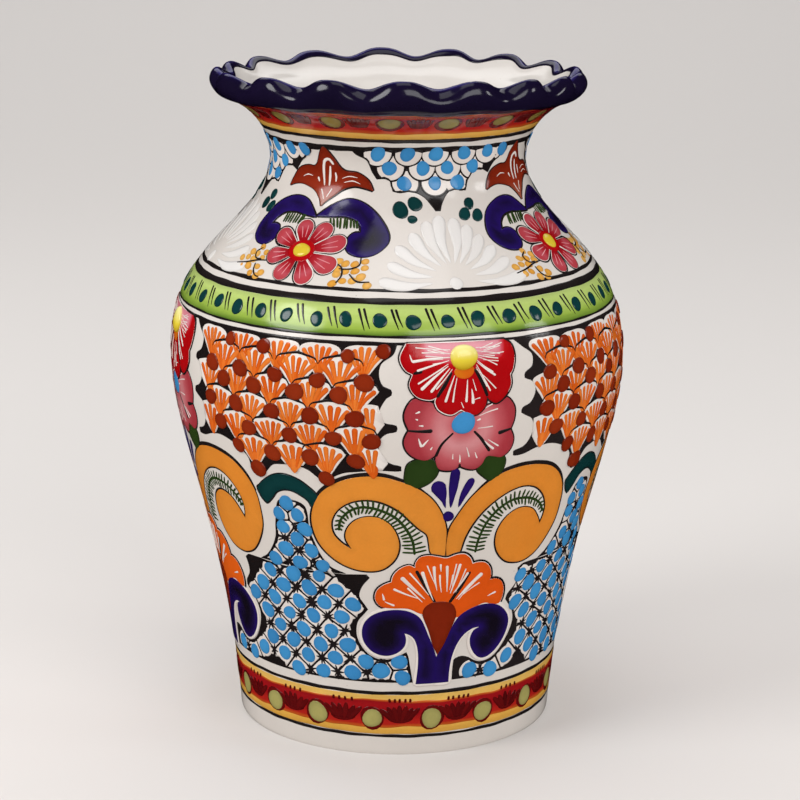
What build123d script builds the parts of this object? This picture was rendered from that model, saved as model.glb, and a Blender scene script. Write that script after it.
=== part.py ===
from build123d import *
import math
import os

# Wheel-thrown, ruffled-rim vase in glazed earthenware.
# Millimetres, +Z up, origin at the centre of the foot where it rests.

# ---- Driving dimensions ------------------------------------------------------

BELLY_RADIUS = 102.5      # widest point, glaze included
BELLY_HEIGHT = 169.0      # where the widest point is
FOOT_RADIUS = 72.0
NECK_RADIUS = 57.0        # narrowest point of the neck
NECK_HEIGHT = 261.0
JOINT_RADIUS = 69.6       # outer edge of the wall where the ruffled rim begins
JOINT_HEIGHT = 281.5

WALL = 6.0                # thrown clay wall
GLAZE = 0.5               # fired glaze on either side of the wall
FOOT_STEP = 7.0           # height of the trimmed foot ring
FLOOR = 8.0               # thickness of the clay floor
FOOT_INNER_RADIUS = 56.0  # inner radius of the foot ring
FOOT_EDGE = 1.2           # rounded contact edge of the foot ring
SEAM_HEIGHT = 120.0       # where the two thrown halves are joined
COLLAR_HEIGHT = 240.0     # where the neck collar is joined to the shoulder
FOOT_WALL_TOP = 63.0      # the wall is divided further where its line bends,
BELLY_WALL_TOP = 165.0    # so that each ring of it is nearly straight in section
UPPER_WALL_TOP = 203.0
COLLAR_TOP = 262.0

SCALLOPS = 17             # finger-pinched waves round the rim
WAVE_RISE = 1.8           # a crest stands this far above the mean lip
WAVE_REACH = 1.4          # and this far outside it
LIP_RISE = 15.0           # height over which the waves grow to their full size
SECTIONS_PER_WAVE = 4

BOND = 0.05               # line of slip or glaze bond at the curved joints of the rim
OUTLINE_STEPS = 24        # points that carry a line inside the wall
SLAB = 4 * BELLY_RADIUS   # side of the slabs that divide the wall
ABOVE_ALL = 2 * JOINT_HEIGHT  # a height clear of the whole vase

# ---- Shapes of the outline ---------------------------------------------------

# Outer line of the glazed wall, (radius, height), from just under the foot, where
# it is cut off level, up to the rim.
OUTLINE = [
    (FOOT_RADIUS - 0.4, -6.0),
    (FOOT_RADIUS, 0.0),
    (75.6, 36.0),
    (84.8, 85.0),
    (98.3, 138.0),
    (BELLY_RADIUS, BELLY_HEIGHT),
    (97.2, 198.0),
    (82.0, 220.0),
    (65.2, 238.5),
    (NECK_RADIUS, NECK_HEIGHT),
    (61.4, 272.6),
    (JOINT_RADIUS, JOINT_HEIGHT),
]

# The clay lip, (outwards, upwards) from the joint: under the flare and over the
# tip, where the coloured glaze ends, and then down the inside.
LIP_OUTSIDE = [(5.4, 3.8), (9.4, 7.6), (11.2, 11.6), (10.2, 15.4), (7.9, 15.8)]
LIP_INSIDE = [(6.5, 12.6), (4.0, 9.0), (0.4, 6.4)]


def wall_line(depth):
    """The outline, moved through the wall by depth, as one smooth curve."""
    outline = Spline([(r, 0, z) for r, z in OUTLINE])
    points = []
    for step in range(OUTLINE_STEPS + 1):
        place = outline @ (step / OUTLINE_STEPS)
        along = outline % (step / OUTLINE_STEPS)
        points.append((place.X - depth * along.Z, 0, place.Z + depth * along.X))
    return Spline(points)


def shell(outer_depth, inner_depth):
    """The wall between two depths, turned about the axis."""
    outer = wall_line(outer_depth)
    inner = wall_line(inner_depth)
    top = Line(outer @ 1, inner @ 1)
    bottom = Line(inner @ 0, outer @ 0)
    return revolve(make_face([outer, top, inner, bottom]), Axis.Z)


def inside_form(depth):
    """Everything within the line at that depth, as one solid."""
    line = wall_line(depth)
    axis_top = (0, 0, (line @ 1).Z)
    axis_foot = (0, 0, (line @ 0).Z)
    top = Line(line @ 1, axis_top)
    axis = Line(axis_top, axis_foot)
    bottom = Line(axis_foot, line @ 0)
    return revolve(make_face([line, top, axis, bottom]), Axis.Z)


def slab(low, high):
    """A horizontal slab wider than the vase, from one height to another."""
    align = (Align.CENTER, Align.CENTER, Align.MIN)
    return Pos(0, 0, low) * Box(SLAB, SLAB, high - low, align=align)


# ---- Clay --------------------------------------------------------------------

def foot_ring():
    """Trimmed ring that the vase stands on, with a rounded contact edge."""
    disc = inside_form(GLAZE) & slab(0, FOOT_STEP)
    ring = disc - Cylinder(FOOT_INNER_RADIUS, 4 * FOOT_STEP)
    contact = ring.edges().group_by(Axis.Z)[0]
    return fillet(contact, FOOT_EDGE)


def floor_slab():
    """Clay floor within the wall, on top of the foot ring."""
    return inside_form(GLAZE + WALL) & slab(FOOT_STEP, FOOT_STEP + FLOOR)


def clay_wall(low, high):
    """The clay wall between two heights."""
    return shell(GLAZE, GLAZE + WALL) & slab(low, high)


# ---- Glaze -------------------------------------------------------------------

def outer_glaze():
    """White tin glaze over the outside, wiped back from the contact edge."""
    return shell(0, GLAZE) & slab(FOOT_EDGE, ABOVE_ALL)


def inner_glaze():
    """White lining of the inside, with the floor."""
    floor_top = FOOT_STEP + FLOOR
    wall = shell(GLAZE + WALL, 2 * GLAZE + WALL) & slab(floor_top, ABOVE_ALL)
    floor = inside_form(GLAZE + WALL) & slab(floor_top, floor_top + GLAZE)
    return wall + floor


# ---- Ruffled rim -------------------------------------------------------------

def ruffled(start, offsets, wave):
    """Points of the lip at one place, moved by the wave there."""
    points = []
    for outwards, upwards in offsets:
        share = (upwards / LIP_RISE) ** 2
        r = start[0] + outwards + WAVE_REACH * wave * share
        z = start[1] + upwards + WAVE_RISE * wave * share
        points.append((r, z))
    return points


def thickened(points, distance):
    """The same points, each moved outwards along the normal there."""
    moved = []
    for index, (r, z) in enumerate(points):
        before = points[max(index - 1, 0)]
        after = points[min(index + 1, len(points) - 1)]
        dr = after[0] - before[0]
        dz = after[1] - before[1]
        length = math.hypot(dr, dz)
        moved.append((r + distance * dz / length, z - distance * dr / length))
    return moved


def rim_root(depth):
    """Where the rim begins at that depth in the wall, (radius, height)."""
    line = wall_line(depth)
    along = line % 1
    return ((line @ 1).X + BOND * along.X, (line @ 1).Z + BOND * along.Z)


RIM_START = rim_root(GLAZE)
RIM_FINISH = rim_root(GLAZE + WALL)


def lip_lines(angle):
    """The clay lip at one angle: its outside up to the tip, and its inside."""
    wave = math.cos(SCALLOPS * angle)
    start = RIM_START
    outside = [start] + ruffled(start, LIP_OUTSIDE, wave)
    inside = outside[-1:] + ruffled(start, LIP_INSIDE, wave) + [RIM_FINISH]
    return outside, inside


def standing(points, angle):
    """Points (radius, height) stood in the half plane at that angle."""
    return [(r * math.sin(angle), -r * math.cos(angle), z) for r, z in points]


def bounded(lines):
    """The flat face within a ring of lines, each given by its points."""
    edges = []
    for points in lines:
        if len(points) == 2:
            edges.append(Line(points[0], points[1]))
        else:
            edges.append(Spline(points))
    return make_face(edges)


def clay_section(angle):
    """Section of the clay lip."""
    outside, inside = lip_lines(angle)
    closing = [inside[-1], outside[0]]
    return bounded([standing(line, angle) for line in (outside, inside, closing)])


def skin_section(line, angle):
    """Section of the glaze that lies on one line of the lip."""
    seat = thickened(line, BOND)
    skin = thickened(line, GLAZE)[::-1]
    tip = [seat[-1], skin[0]]
    root = [skin[-1], seat[0]]
    return bounded([standing(part, angle) for part in (seat, tip, skin, root)])


def outside_section(angle):
    """Section of the coloured glaze on the outside and over the tip."""
    return skin_section(lip_lines(angle)[0], angle)


def inside_section(angle):
    """Section of the white glaze inside the lip."""
    return skin_section(lip_lines(angle)[1], angle)


def ruffled_ring(section):
    """A section carried round the rim through every wave, in two halves."""
    steps = SCALLOPS * SECTIONS_PER_WAVE // 2
    angles = [math.pi * step / steps for step in range(2 * steps + 1)]
    front = loft([section(angle) for angle in angles[:steps + 1]])
    back = loft([section(angle) for angle in angles[steps:]])
    return front + back


# ---- The pieces --------------------------------------------------------------

PIECES = {
    "foot_ring": foot_ring(),
    "floor_slab": floor_slab(),
    "foot_wall": clay_wall(FOOT_STEP, FOOT_WALL_TOP),
    "lower_wall": clay_wall(FOOT_WALL_TOP, SEAM_HEIGHT),
    "belly_wall": clay_wall(SEAM_HEIGHT, BELLY_WALL_TOP),
    "upper_wall": clay_wall(BELLY_WALL_TOP, UPPER_WALL_TOP),
    "shoulder_wall": clay_wall(UPPER_WALL_TOP, COLLAR_HEIGHT),
    "neck_collar": clay_wall(COLLAR_HEIGHT, COLLAR_TOP),
    "neck_flare": clay_wall(COLLAR_TOP, ABOVE_ALL),
    "ruffled_rim": ruffled_ring(clay_section),
    "outer_glaze": outer_glaze(),
    "inner_glaze": inner_glaze(),
    "rim_glaze": ruffled_ring(outside_section),
    "rim_lining": ruffled_ring(inside_section),
}

os.makedirs("parts", exist_ok=True)
for name, shape in PIECES.items():
    shape.label = name
    export_step(shape, "parts/" + name + ".step")
    print(name, round(shape.volume), len(shape.solids()), shape.is_valid)
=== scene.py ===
import math
import random

import bpy
import numpy as np
from mathutils import Matrix, Vector
from mathutils.geometry import delaunay_2d_cdt


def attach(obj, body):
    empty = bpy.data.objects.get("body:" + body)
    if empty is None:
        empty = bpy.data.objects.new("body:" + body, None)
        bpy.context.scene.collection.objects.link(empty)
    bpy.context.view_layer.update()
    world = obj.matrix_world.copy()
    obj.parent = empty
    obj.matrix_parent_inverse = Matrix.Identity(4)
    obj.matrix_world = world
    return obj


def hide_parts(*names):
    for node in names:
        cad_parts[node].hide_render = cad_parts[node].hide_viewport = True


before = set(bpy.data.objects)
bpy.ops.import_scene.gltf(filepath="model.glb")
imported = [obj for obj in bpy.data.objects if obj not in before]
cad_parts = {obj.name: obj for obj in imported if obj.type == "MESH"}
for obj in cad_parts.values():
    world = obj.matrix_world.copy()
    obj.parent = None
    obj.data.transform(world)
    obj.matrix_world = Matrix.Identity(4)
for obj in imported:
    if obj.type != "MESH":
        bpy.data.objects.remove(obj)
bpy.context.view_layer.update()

# A wheel-thrown vase with a white tin glaze, painted by hand in raised enamel.
# The body is one section turned about the axis. Every painted shape is drawn on a
# plane that is wrapped on the body: x runs round it to the right, and s runs up the
# section from the foot. Both are in millimetres.

MM = 0.001
rng = random.Random(7)

# ---- Section of the vase (radius, height) -------------------------------------

OUTLINE = [
    (71.6, -6.0), (72.0, 0.0), (75.6, 36.0), (84.8, 85.0), (98.3, 138.0),
    (102.5, 169.0), (97.2, 198.0), (82.0, 220.0), (65.2, 238.5), (57.0, 261.0),
    (61.4, 272.6), (69.6, 281.5),
]
LIP = [(75.6, 284.7), (80.3, 286.9), (82.5, 290.6), (81.5, 295.4), (78.2, 298.2)]
LIP_INSIDE = [(75.4, 294.8), (72.9, 291.2), (69.3, 288.9), (65.2, 286.9)]
WALL = 7.0
FLOOR_HEIGHT = 15.5
STEP = 0.07              # one layer of enamel
SKIRT = -0.06            # how far the edge of a layer reaches into the coat
BEAD = 0.35              # width of the rounded edge of a layer

# degrees of the crests of the rim
CRESTS = [1.4, 23.7, 44, 62, 80, 99, 118, 140, 162, 186, 211, 235, 252, 271, 292, 316.5, 338.7]
WAVE_RISE = 1.75         # a crest stands this far above the mean lip
WAVE_REACH = 2.0         # and this far outside it
PINCH = 2.6              # the higher, the narrower the valleys between crests
WAVE_START = 284.6       # the waves grow from this height
WAVE_GROWTH = 13         # over this height
BACK_DIP = 1.2           # the lip hangs lower at the back
SIDE_DIP = 2.0           # and at both sides
HAND = 0.05              # wobble of a wall thrown by hand

COLUMNS = 384            # steps round the body
BAND_STEPS = 360         # steps round a band
TURN = 6.28              # a full turn, for random phases
COLUMN_ANGLE = 14.5      # degrees to the column of flowers in front
BETWEEN_ANGLE = -30.5    # degrees to the field of scales on its left


def spline(points, spacing):
    """A smooth open curve through the points, resampled evenly."""
    p = np.array(points, float)
    n = len(p)
    t = np.concatenate([[0], np.cumsum(np.hypot(*np.diff(p, axis=0).T))])
    h = np.diff(t)
    a = np.eye(n)
    b = np.zeros((n, 2))
    for i in range(1, n - 1):
        a[i, i - 1:i + 2] = h[i - 1], 2 * (h[i - 1] + h[i]), h[i]
        b[i] = 6 * ((p[i + 1] - p[i]) / h[i] - (p[i] - p[i - 1]) / h[i - 1])
    m = np.linalg.solve(a, b)
    u = np.linspace(0, t[-1], int(t[-1] / spacing) + 2)
    i = np.clip(np.searchsorted(t, u, side="right") - 1, 0, n - 2)
    d = (t[i + 1] - u)[:, None]
    e = (u - t[i])[:, None]
    hi = h[i][:, None]
    curve = (m[i] * d ** 3 + m[i + 1] * e ** 3) / (6 * hi)
    curve += (p[i] / hi - m[i] * hi / 6) * d + (p[i + 1] / hi - m[i + 1] * hi / 6) * e
    return curve


def normals_of(curve):
    """Unit normals on the outer side of the section."""
    along = np.gradient(curve, axis=0)
    along /= np.hypot(*along.T)[:, None]
    return np.stack([along[:, 1], -along[:, 0]], 1)


OUTER = spline(OUTLINE + LIP, 0.4)
at_wall = np.linspace(0.91, 0.085, 40)
rows = (at_wall * len(OUTER)).astype(int)
INNER_WALL = OUTER[rows] - WALL * normals_of(OUTER)[rows]
FLOOR = [(64.0, 17.0), (58.0, FLOOR_HEIGHT), (40.0, FLOOR_HEIGHT), (0.3, FLOOR_HEIGHT)]
inner_points = [tuple(p) for p in INNER_WALL if 22 < p[1] < 284]
SECTION = spline(OUTLINE + LIP + LIP_INSIDE + inner_points + FLOOR, 0.4)
NORMALS = normals_of(SECTION)
ARC = np.concatenate([[0], np.cumsum(np.hypot(*np.diff(SECTION, axis=0).T))])
ARC -= np.interp(0, SECTION[:60, 1], ARC[:60])
TIP = ARC[np.argmax(SECTION[:, 1])]
END = ARC[-1]


def ripple(theta, seed, rates=(2, 3, 5, 8, 13, 21, 34)):
    """A smooth irregular wave round the vase, about -1 to 1."""
    own = random.Random(seed)
    return sum(np.sin(k * theta + own.uniform(0, TURN)) for k in rates) / 3.5


def wave(theta):
    """The pinched waves of the rim, 1 at a crest and -1 between two."""
    degrees = np.mod(np.degrees(theta) - CRESTS[0], 360) + CRESTS[0]
    turns = np.interp(degrees, CRESTS + [CRESTS[0] + 360], range(len(CRESTS) + 1))
    pinched = 1 - 2 * np.abs(np.sin(np.pi * turns)) ** PINCH
    return pinched * (1 + 0.14 * ripple(theta, 3, (1, 2, 4, 5)))


def place(theta, s, height=0.0):
    """The point at that angle and that way up the section, raised by height."""
    theta = np.asarray(theta, float)
    r = np.interp(s, ARC, SECTION[:, 0])
    z = np.interp(s, ARC, SECTION[:, 1])
    nr = np.interp(s, ARC, NORMALS[:, 0])
    nz = np.interp(s, ARC, NORMALS[:, 1])
    share = np.clip((z - WAVE_START) / WAVE_GROWTH, 0, 1.1) ** 1.3
    w = wave(theta)
    above_foot = np.clip(z / 60, 0, 1)
    hand = 2 * HAND * np.sin(2 * theta + 0.6) + HAND * np.sin(z / 9 + theta) * above_foot
    hand += HAND * np.sin(3 * theta - z / 37) * above_foot
    rise = height + np.where(s < TIP, hand, 0)
    r = r + WAVE_REACH * w * share + rise * nr
    dip = BACK_DIP * (1 - np.cos(theta)) + SIDE_DIP * np.sin(theta) ** 2
    z = z + (WAVE_RISE * w - dip) * share + rise * nz
    return np.stack([r * np.sin(theta), -r * np.cos(theta), z], -1)


def radius_at(s):
    """Radius of the body at that way up the section."""
    return np.interp(s, ARC, SECTION[:, 0])


# ---- Making meshes ------------------------------------------------------------

class Paint:
    """One colour of enamel in one part of the decoration: it becomes one mesh."""

    def __init__(self, name, material, slot):
        self.name, self.material, self.slot = name, material, slot
        self.points, self.faces, self.tones, self.edges = [], [], [], []
        self.count = 0

    def add(self, points, faces, tone, edge):
        """Takes in more points and faces, with their tone and depth from the edge."""
        self.points.append(points)
        self.faces += [[i + self.count for i in face] for face in faces]
        self.tones.append(np.broadcast_to(tone, (len(points),)))
        self.edges.append(np.broadcast_to(edge, (len(points),)))
        self.count += len(points)

    def build(self, *replaced):
        """The finished piece, in place of the CAD nodes named."""
        mesh = bpy.data.meshes.new(self.name)
        mesh.from_pydata((np.concatenate(self.points) * MM).tolist(), [], self.faces)
        for label, values in (("tone", self.tones), ("edge", self.edges)):
            layer = mesh.attributes.new(label, "FLOAT", "POINT")
            layer.data.foreach_set("value", np.concatenate(values).astype(np.float32))
        mesh.polygons.foreach_set("use_smooth", [True] * len(mesh.polygons))
        mesh.materials.append(self.material)
        made = bpy.data.objects.new(self.name, mesh)
        bpy.context.collection.objects.link(made)
        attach(made, "root")
        if replaced:
            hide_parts(*replaced)


def grid_faces(columns, rows, closed):
    """Quads of a grid of points, closed if its last column meets the first again."""
    faces = []
    for i in range(columns if closed else columns - 1):
        j = (i + 1) % columns
        for k in range(rows - 1):
            faces.append((i * rows + k, j * rows + k, j * rows + k + 1, i * rows + k + 1))
    return faces


def turned(paint, s_rows, heights, columns, tone=0.5, edge=1.0, shift=None):
    """A ring of the body: rows of s, each with its height, carried round it."""
    theta = np.linspace(0, 2 * np.pi, columns, endpoint=False)
    s_grid = np.broadcast_to(s_rows, (columns, len(s_rows))).copy()
    if shift is not None:
        s_grid = s_grid + shift(theta)
    h_grid = np.broadcast_to(heights, s_grid.shape)
    points = place(theta[:, None], s_grid, h_grid).reshape(-1, 3)
    tones = np.broadcast_to(tone, s_grid.shape).reshape(-1)
    edges = np.broadcast_to(edge, s_grid.shape).reshape(-1)
    paint.add(points, grid_faces(columns, len(s_rows), True), tones, edges)


def band(paint, low, high, level, seed, sway):
    """A painted band all round, with hand-drawn edges."""
    top = level * STEP
    width = high - low
    bead = min(BEAD, width / 3)
    middle = np.linspace(low + bead, high - bead, max(int(width / 2.5), 1) + 2)
    s_rows = np.concatenate([[low, low], middle, [high, high]])
    heights = np.concatenate([[SKIRT, top - STEP / 2], 0 * middle + top, [top - STEP / 2, SKIRT]])
    where = (s_rows - low) / width
    edge = np.clip(np.minimum(s_rows - low, high - s_rows) / 1.5, 0, 1)

    def shift(theta):
        lower = sway * ripple(theta, seed)[:, None]
        upper = sway * ripple(theta, seed + 1)[:, None]
        return lower * (1 - where) + upper * where

    turned(paint, s_rows, heights, BAND_STEPS, where, edge, shift)


class Plane:
    """The drawing plane wrapped on the body at one angle."""

    def __init__(self, degrees, stray=0.0, seed=0):
        self.centre = math.radians(degrees)
        own = random.Random(seed)
        self.phases = [own.uniform(0, TURN) for _ in range(4)]
        self.stray = stray

    def points(self, x, s, height):
        """Places on the plane as points on the body, a little astray."""
        a, b, c, d = self.phases
        dx = self.stray * (np.sin(s / 13 + a) + np.sin(x / 17 + s / 29 + b)) / 2
        ds = self.stray * (np.sin(x / 11 + c) + np.sin(s / 19 - x / 23 + d)) / 2
        fade = np.clip((s - 33) / 12, 0, 1)
        s = s + ds * fade
        return place(self.centre + (x + dx * fade) / radius_at(s), s, height)


def trace(points, spacing=1.0, closed=True):
    """A smooth line through given points. A third number marks a corner."""
    p = np.array([q[:2] for q in points], float)
    corner = [len(q) > 2 for q in points]
    n = len(p)
    spans = n if closed else n - 1
    made = []
    for i in range(spans):
        a, b = p[i], p[(i + 1) % n]
        before = p[(i - 1) % n] if closed or i else a
        after = p[(i + 2) % n] if closed or i + 2 < n else b
        gap = max(np.hypot(*(b - a)), 1e-6)
        if corner[i] or (not closed and i == 0):
            out = b - a
        else:
            out = (b - before) * gap / (gap + np.hypot(*(a - before)) + 1e-9)
        if corner[(i + 1) % n] or (not closed and i + 2 == n):
            into = b - a
        else:
            into = (after - a) * gap / (gap + np.hypot(*(after - b)) + 1e-9)
        t = np.linspace(0, 1, max(int(gap / spacing), 1) + 1)[:-1, None]
        made.append(a * (2 * t ** 3 - 3 * t ** 2 + 1) + b * (3 * t ** 2 - 2 * t ** 3)
                    + out * (t ** 3 - 2 * t ** 2 + t) + into * (t ** 3 - t ** 2))
    if not closed:
        made.append(p[-1:])
    return np.concatenate(made)


def area_of(loop):
    """Area of the loop, positive where it runs anticlockwise."""
    x, y = loop.T
    return 0.5 * np.sum(x * np.roll(y, -1) - y * np.roll(x, -1))


def within(loop, points):
    """Which points lie inside the loop."""
    inside = np.zeros(len(points), bool)
    x, y = points.T
    for (x1, y1), (x2, y2) in zip(loop, np.roll(loop, -1, axis=0)):
        if y1 != y2:
            crosses = (y1 > y) != (y2 > y)
            inside ^= crosses & (x < (x2 - x1) * (y - y1) / (y2 - y1) + x1)
    return inside


def distance_to(loop, points):
    """Distance from each point to the loop."""
    a = loop[None]
    ab = np.roll(loop, -1, axis=0)[None] - a
    ap = points[:, None] - a
    t = np.clip((ap * ab).sum(-1) / np.maximum((ab ** 2).sum(-1), 1e-9), 0, 1)
    return np.sqrt(((ap - ab * t[..., None]) ** 2).sum(-1)).min(1)


def fill(paint, plane, loop, level, tone=0.5, dome=0.0, cell=3.0):
    """A layer of enamel within a loop, with a rounded edge all round."""
    loop = np.asarray(loop, float)
    if area_of(loop) < 0:
        loop = loop[::-1]
    along = np.roll(loop, -1, axis=0) - np.roll(loop, 1, axis=0)
    along /= np.maximum(np.hypot(*along.T), 1e-6)[:, None]
    inset = loop + BEAD * np.stack([-along[:, 1], along[:, 0]], 1)
    low, high = loop.min(0), loop.max(0)
    xs = np.arange(low[0] + cell / 2, high[0], cell)
    ys = np.arange(low[1] + cell / 2, high[1], cell)
    grid = np.array([(x, y) for x in xs for y in ys]).reshape(-1, 2)
    extra = []
    for group, gap in ((inset, 0.8 * BEAD), (grid, 2.2 * BEAD)):
        if len(group):
            group = group[within(loop, group)]
        if len(group):
            group = group[distance_to(loop, group) > gap]
        extra.append(group.reshape(-1, 2))
    every = np.concatenate([loop] + extra)
    around = [(i, (i + 1) % len(loop)) for i in range(len(loop))]
    found = delaunay_2d_cdt([Vector(p) for p in every.tolist()], around, [], 0, 1e-6, False)
    flat = np.array([tuple(v) for v in found[0]])
    faces = np.array([tuple(f) for f in found[2]])
    faces = [tuple(f) for f in faces[within(loop, flat[faces].mean(1))].tolist()]
    if not faces:
        return
    sides = {}
    for f in faces:
        for a, b in zip(f, f[1:] + f[:1]):
            sides[(a, b)] = True
    border = [(a, b) for a, b in sides if (b, a) not in sides]
    deep = distance_to(loop, flat)
    most = max(deep.max(), 1e-6)
    bead = min(BEAD, most)
    rise = np.clip(deep / bead, 0, 1)
    height = level * STEP - STEP / 2 * (1 - rise) ** 2
    height = height + dome * np.sqrt(1 - (1 - deep / most) ** 2)
    shade = tone(flat[:, 0], flat[:, 1]) if callable(tone) else np.full(len(flat), tone)
    top = plane.points(flat[:, 0], flat[:, 1], height)
    edge_ids = sorted({a for a, b in border})
    lower = {v: len(flat) + k for k, v in enumerate(edge_ids)}
    skirt = plane.points(flat[edge_ids, 0], flat[edge_ids, 1], SKIRT)
    faces += [(b, a, lower[a], lower[b]) for a, b in border]
    paint.add(np.concatenate([top, skirt]), faces,
              np.concatenate([shade, shade[edge_ids]]),
              np.concatenate([np.clip(deep / 1.6, 0, 1), 0 * shade[edge_ids]]))


ACROSS = [(-1.0, None), (-1.0, 0.2), (-0.6, 0.85), (0.0, 1.0), (0.6, 0.85), (1.0, 0.2), (1.0, None)]


def stroke(paint, plane, points, level, widths, tone=0.5, spacing=1.1, thick=1.0, traced=False):
    """One pull of the brush along a line, with its widths spread evenly on the way."""
    if traced or len(points) == 2:
        line = np.array(points, float)
    else:
        line = trace(points, spacing, closed=False)
    lengths = np.concatenate([[0], np.cumsum(np.hypot(*np.diff(line[:, :2], axis=0).T))])
    total = lengths[-1]
    widths = np.atleast_1d(np.asarray(widths, float))
    if len(widths) == 1:
        widths = np.repeat(widths, 2)
    steps = max(int(total / spacing), 3)
    cap = min(widths.max() / 2, total / 4)
    u = np.concatenate([[0, 0.15 * cap, 0.5 * cap], np.linspace(cap, total - cap, steps),
                        [total - 0.5 * cap, total - 0.15 * cap, total]])
    x = np.interp(u, lengths, line[:, 0])
    y = np.interp(u, lengths, line[:, 1])
    half = np.interp(u / total, np.linspace(0, 1, len(widths)), widths) / 2
    to_end = np.minimum(u, total - u)
    half = half * np.sqrt(1 - (1 - np.clip(to_end / max(cap, 1e-6), 0.02, 1)) ** 2)
    dx, dy = np.gradient(x), np.gradient(y)
    size = np.maximum(np.hypot(dx, dy), 1e-6)
    side = np.stack([dy / size, -dx / size], 1)
    base = (level - 0.6) * STEP
    flat, height = [], []
    for across, up in ACROSS:
        flat.append(np.stack([x, y], 1) - side * (across * half)[:, None])
        swell = np.clip(half / 0.5, 0.25, 1)
        height.append(0 * x + SKIRT if up is None else base + up * STEP * thick * swell)
    flat = np.stack(flat, 1).reshape(-1, 2)
    height = np.stack(height, 1).reshape(-1)
    top = plane.points(flat[:, 0], flat[:, 1], height)
    faces = grid_faces(len(u), len(ACROSS), False)
    paint.add(top, faces, tone, np.tile([0, 0.2, 0.7, 1, 0.7, 0.2, 0], len(u)))


def dot(paint, plane, x, s, rx, ry=None, level=3, dome=0.25, tone=0.5, turn=0.0, sides=16):
    """A domed drop of enamel."""
    ry = ry or rx
    rings = [(1.0, None), (1.0, 0.0), (0.93, 0.4), (0.78, 0.68), (0.5, 0.9), (0.22, 0.99)]
    angle = np.linspace(0, 2 * np.pi, sides, endpoint=False)
    wob = 1 + 0.05 * np.sin(2 * angle + rng.uniform(0, 6))
    wob = wob + 0.03 * np.sin(3 * angle + rng.uniform(0, 6))
    ca, sa = math.cos(turn), math.sin(turn)
    flat, height, edge = [], [], []
    for share, up in rings:
        px, py = rx * share * wob * np.cos(angle), ry * share * wob * np.sin(angle)
        flat.append(np.stack([x + px * ca - py * sa, s + px * sa + py * ca], 1))
        height.append(np.full(sides, SKIRT if up is None else (level - 0.5) * STEP + up * dome))
        edge.append(np.full(sides, 0 if up is None else min((1 - share) * rx / 1.6, 1)))
    flat.append(np.array([[x, s]]))
    height.append(np.array([(level - 0.5) * STEP + dome]))
    edge.append(np.array([1.0]))
    flat, height, edge = np.concatenate(flat), np.concatenate(height), np.concatenate(edge)
    faces = []
    for k in range(len(rings) - 1):
        for i in range(sides):
            j = (i + 1) % sides
            faces.append((k * sides + i, k * sides + j, (k + 1) * sides + j, (k + 1) * sides + i))
    last = (len(rings) - 1) * sides
    for i in range(sides):
        faces.append((last + i, last + (i + 1) % sides, last + sides))
    if callable(tone):
        tone = tone(flat[:, 0], flat[:, 1])
    paint.add(plane.points(flat[:, 0], flat[:, 1], height), faces, tone, edge)


def border(paint, plane, loop, level, width, spread=0.0, seed=1):
    """A hand-drawn line all round a loop."""
    loop = np.concatenate([loop, loop[:3]])
    k = np.arange(len(loop))
    own = random.Random(seed)
    a, b = own.uniform(0, TURN), own.uniform(0, TURN)
    widths = width * (1 + spread * (np.sin(k / 7 + a) + np.sin(k / 17 + b)) / 2)
    stroke(paint, plane, loop, level, widths, spacing=1.2, traced=True)


# ---- Glazes -------------------------------------------------------------------

def linear(colour):
    """Display colour, 0 to 255, as scene-linear."""
    made = []
    for value in colour:
        v = value / 255
        made.append(v / 12.92 if v <= 0.04045 else ((v + 0.055) / 1.055) ** 2.4)
    return (*made, 1.0)


BUMP = 0.10              # strength of the unevenness in a glaze


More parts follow.
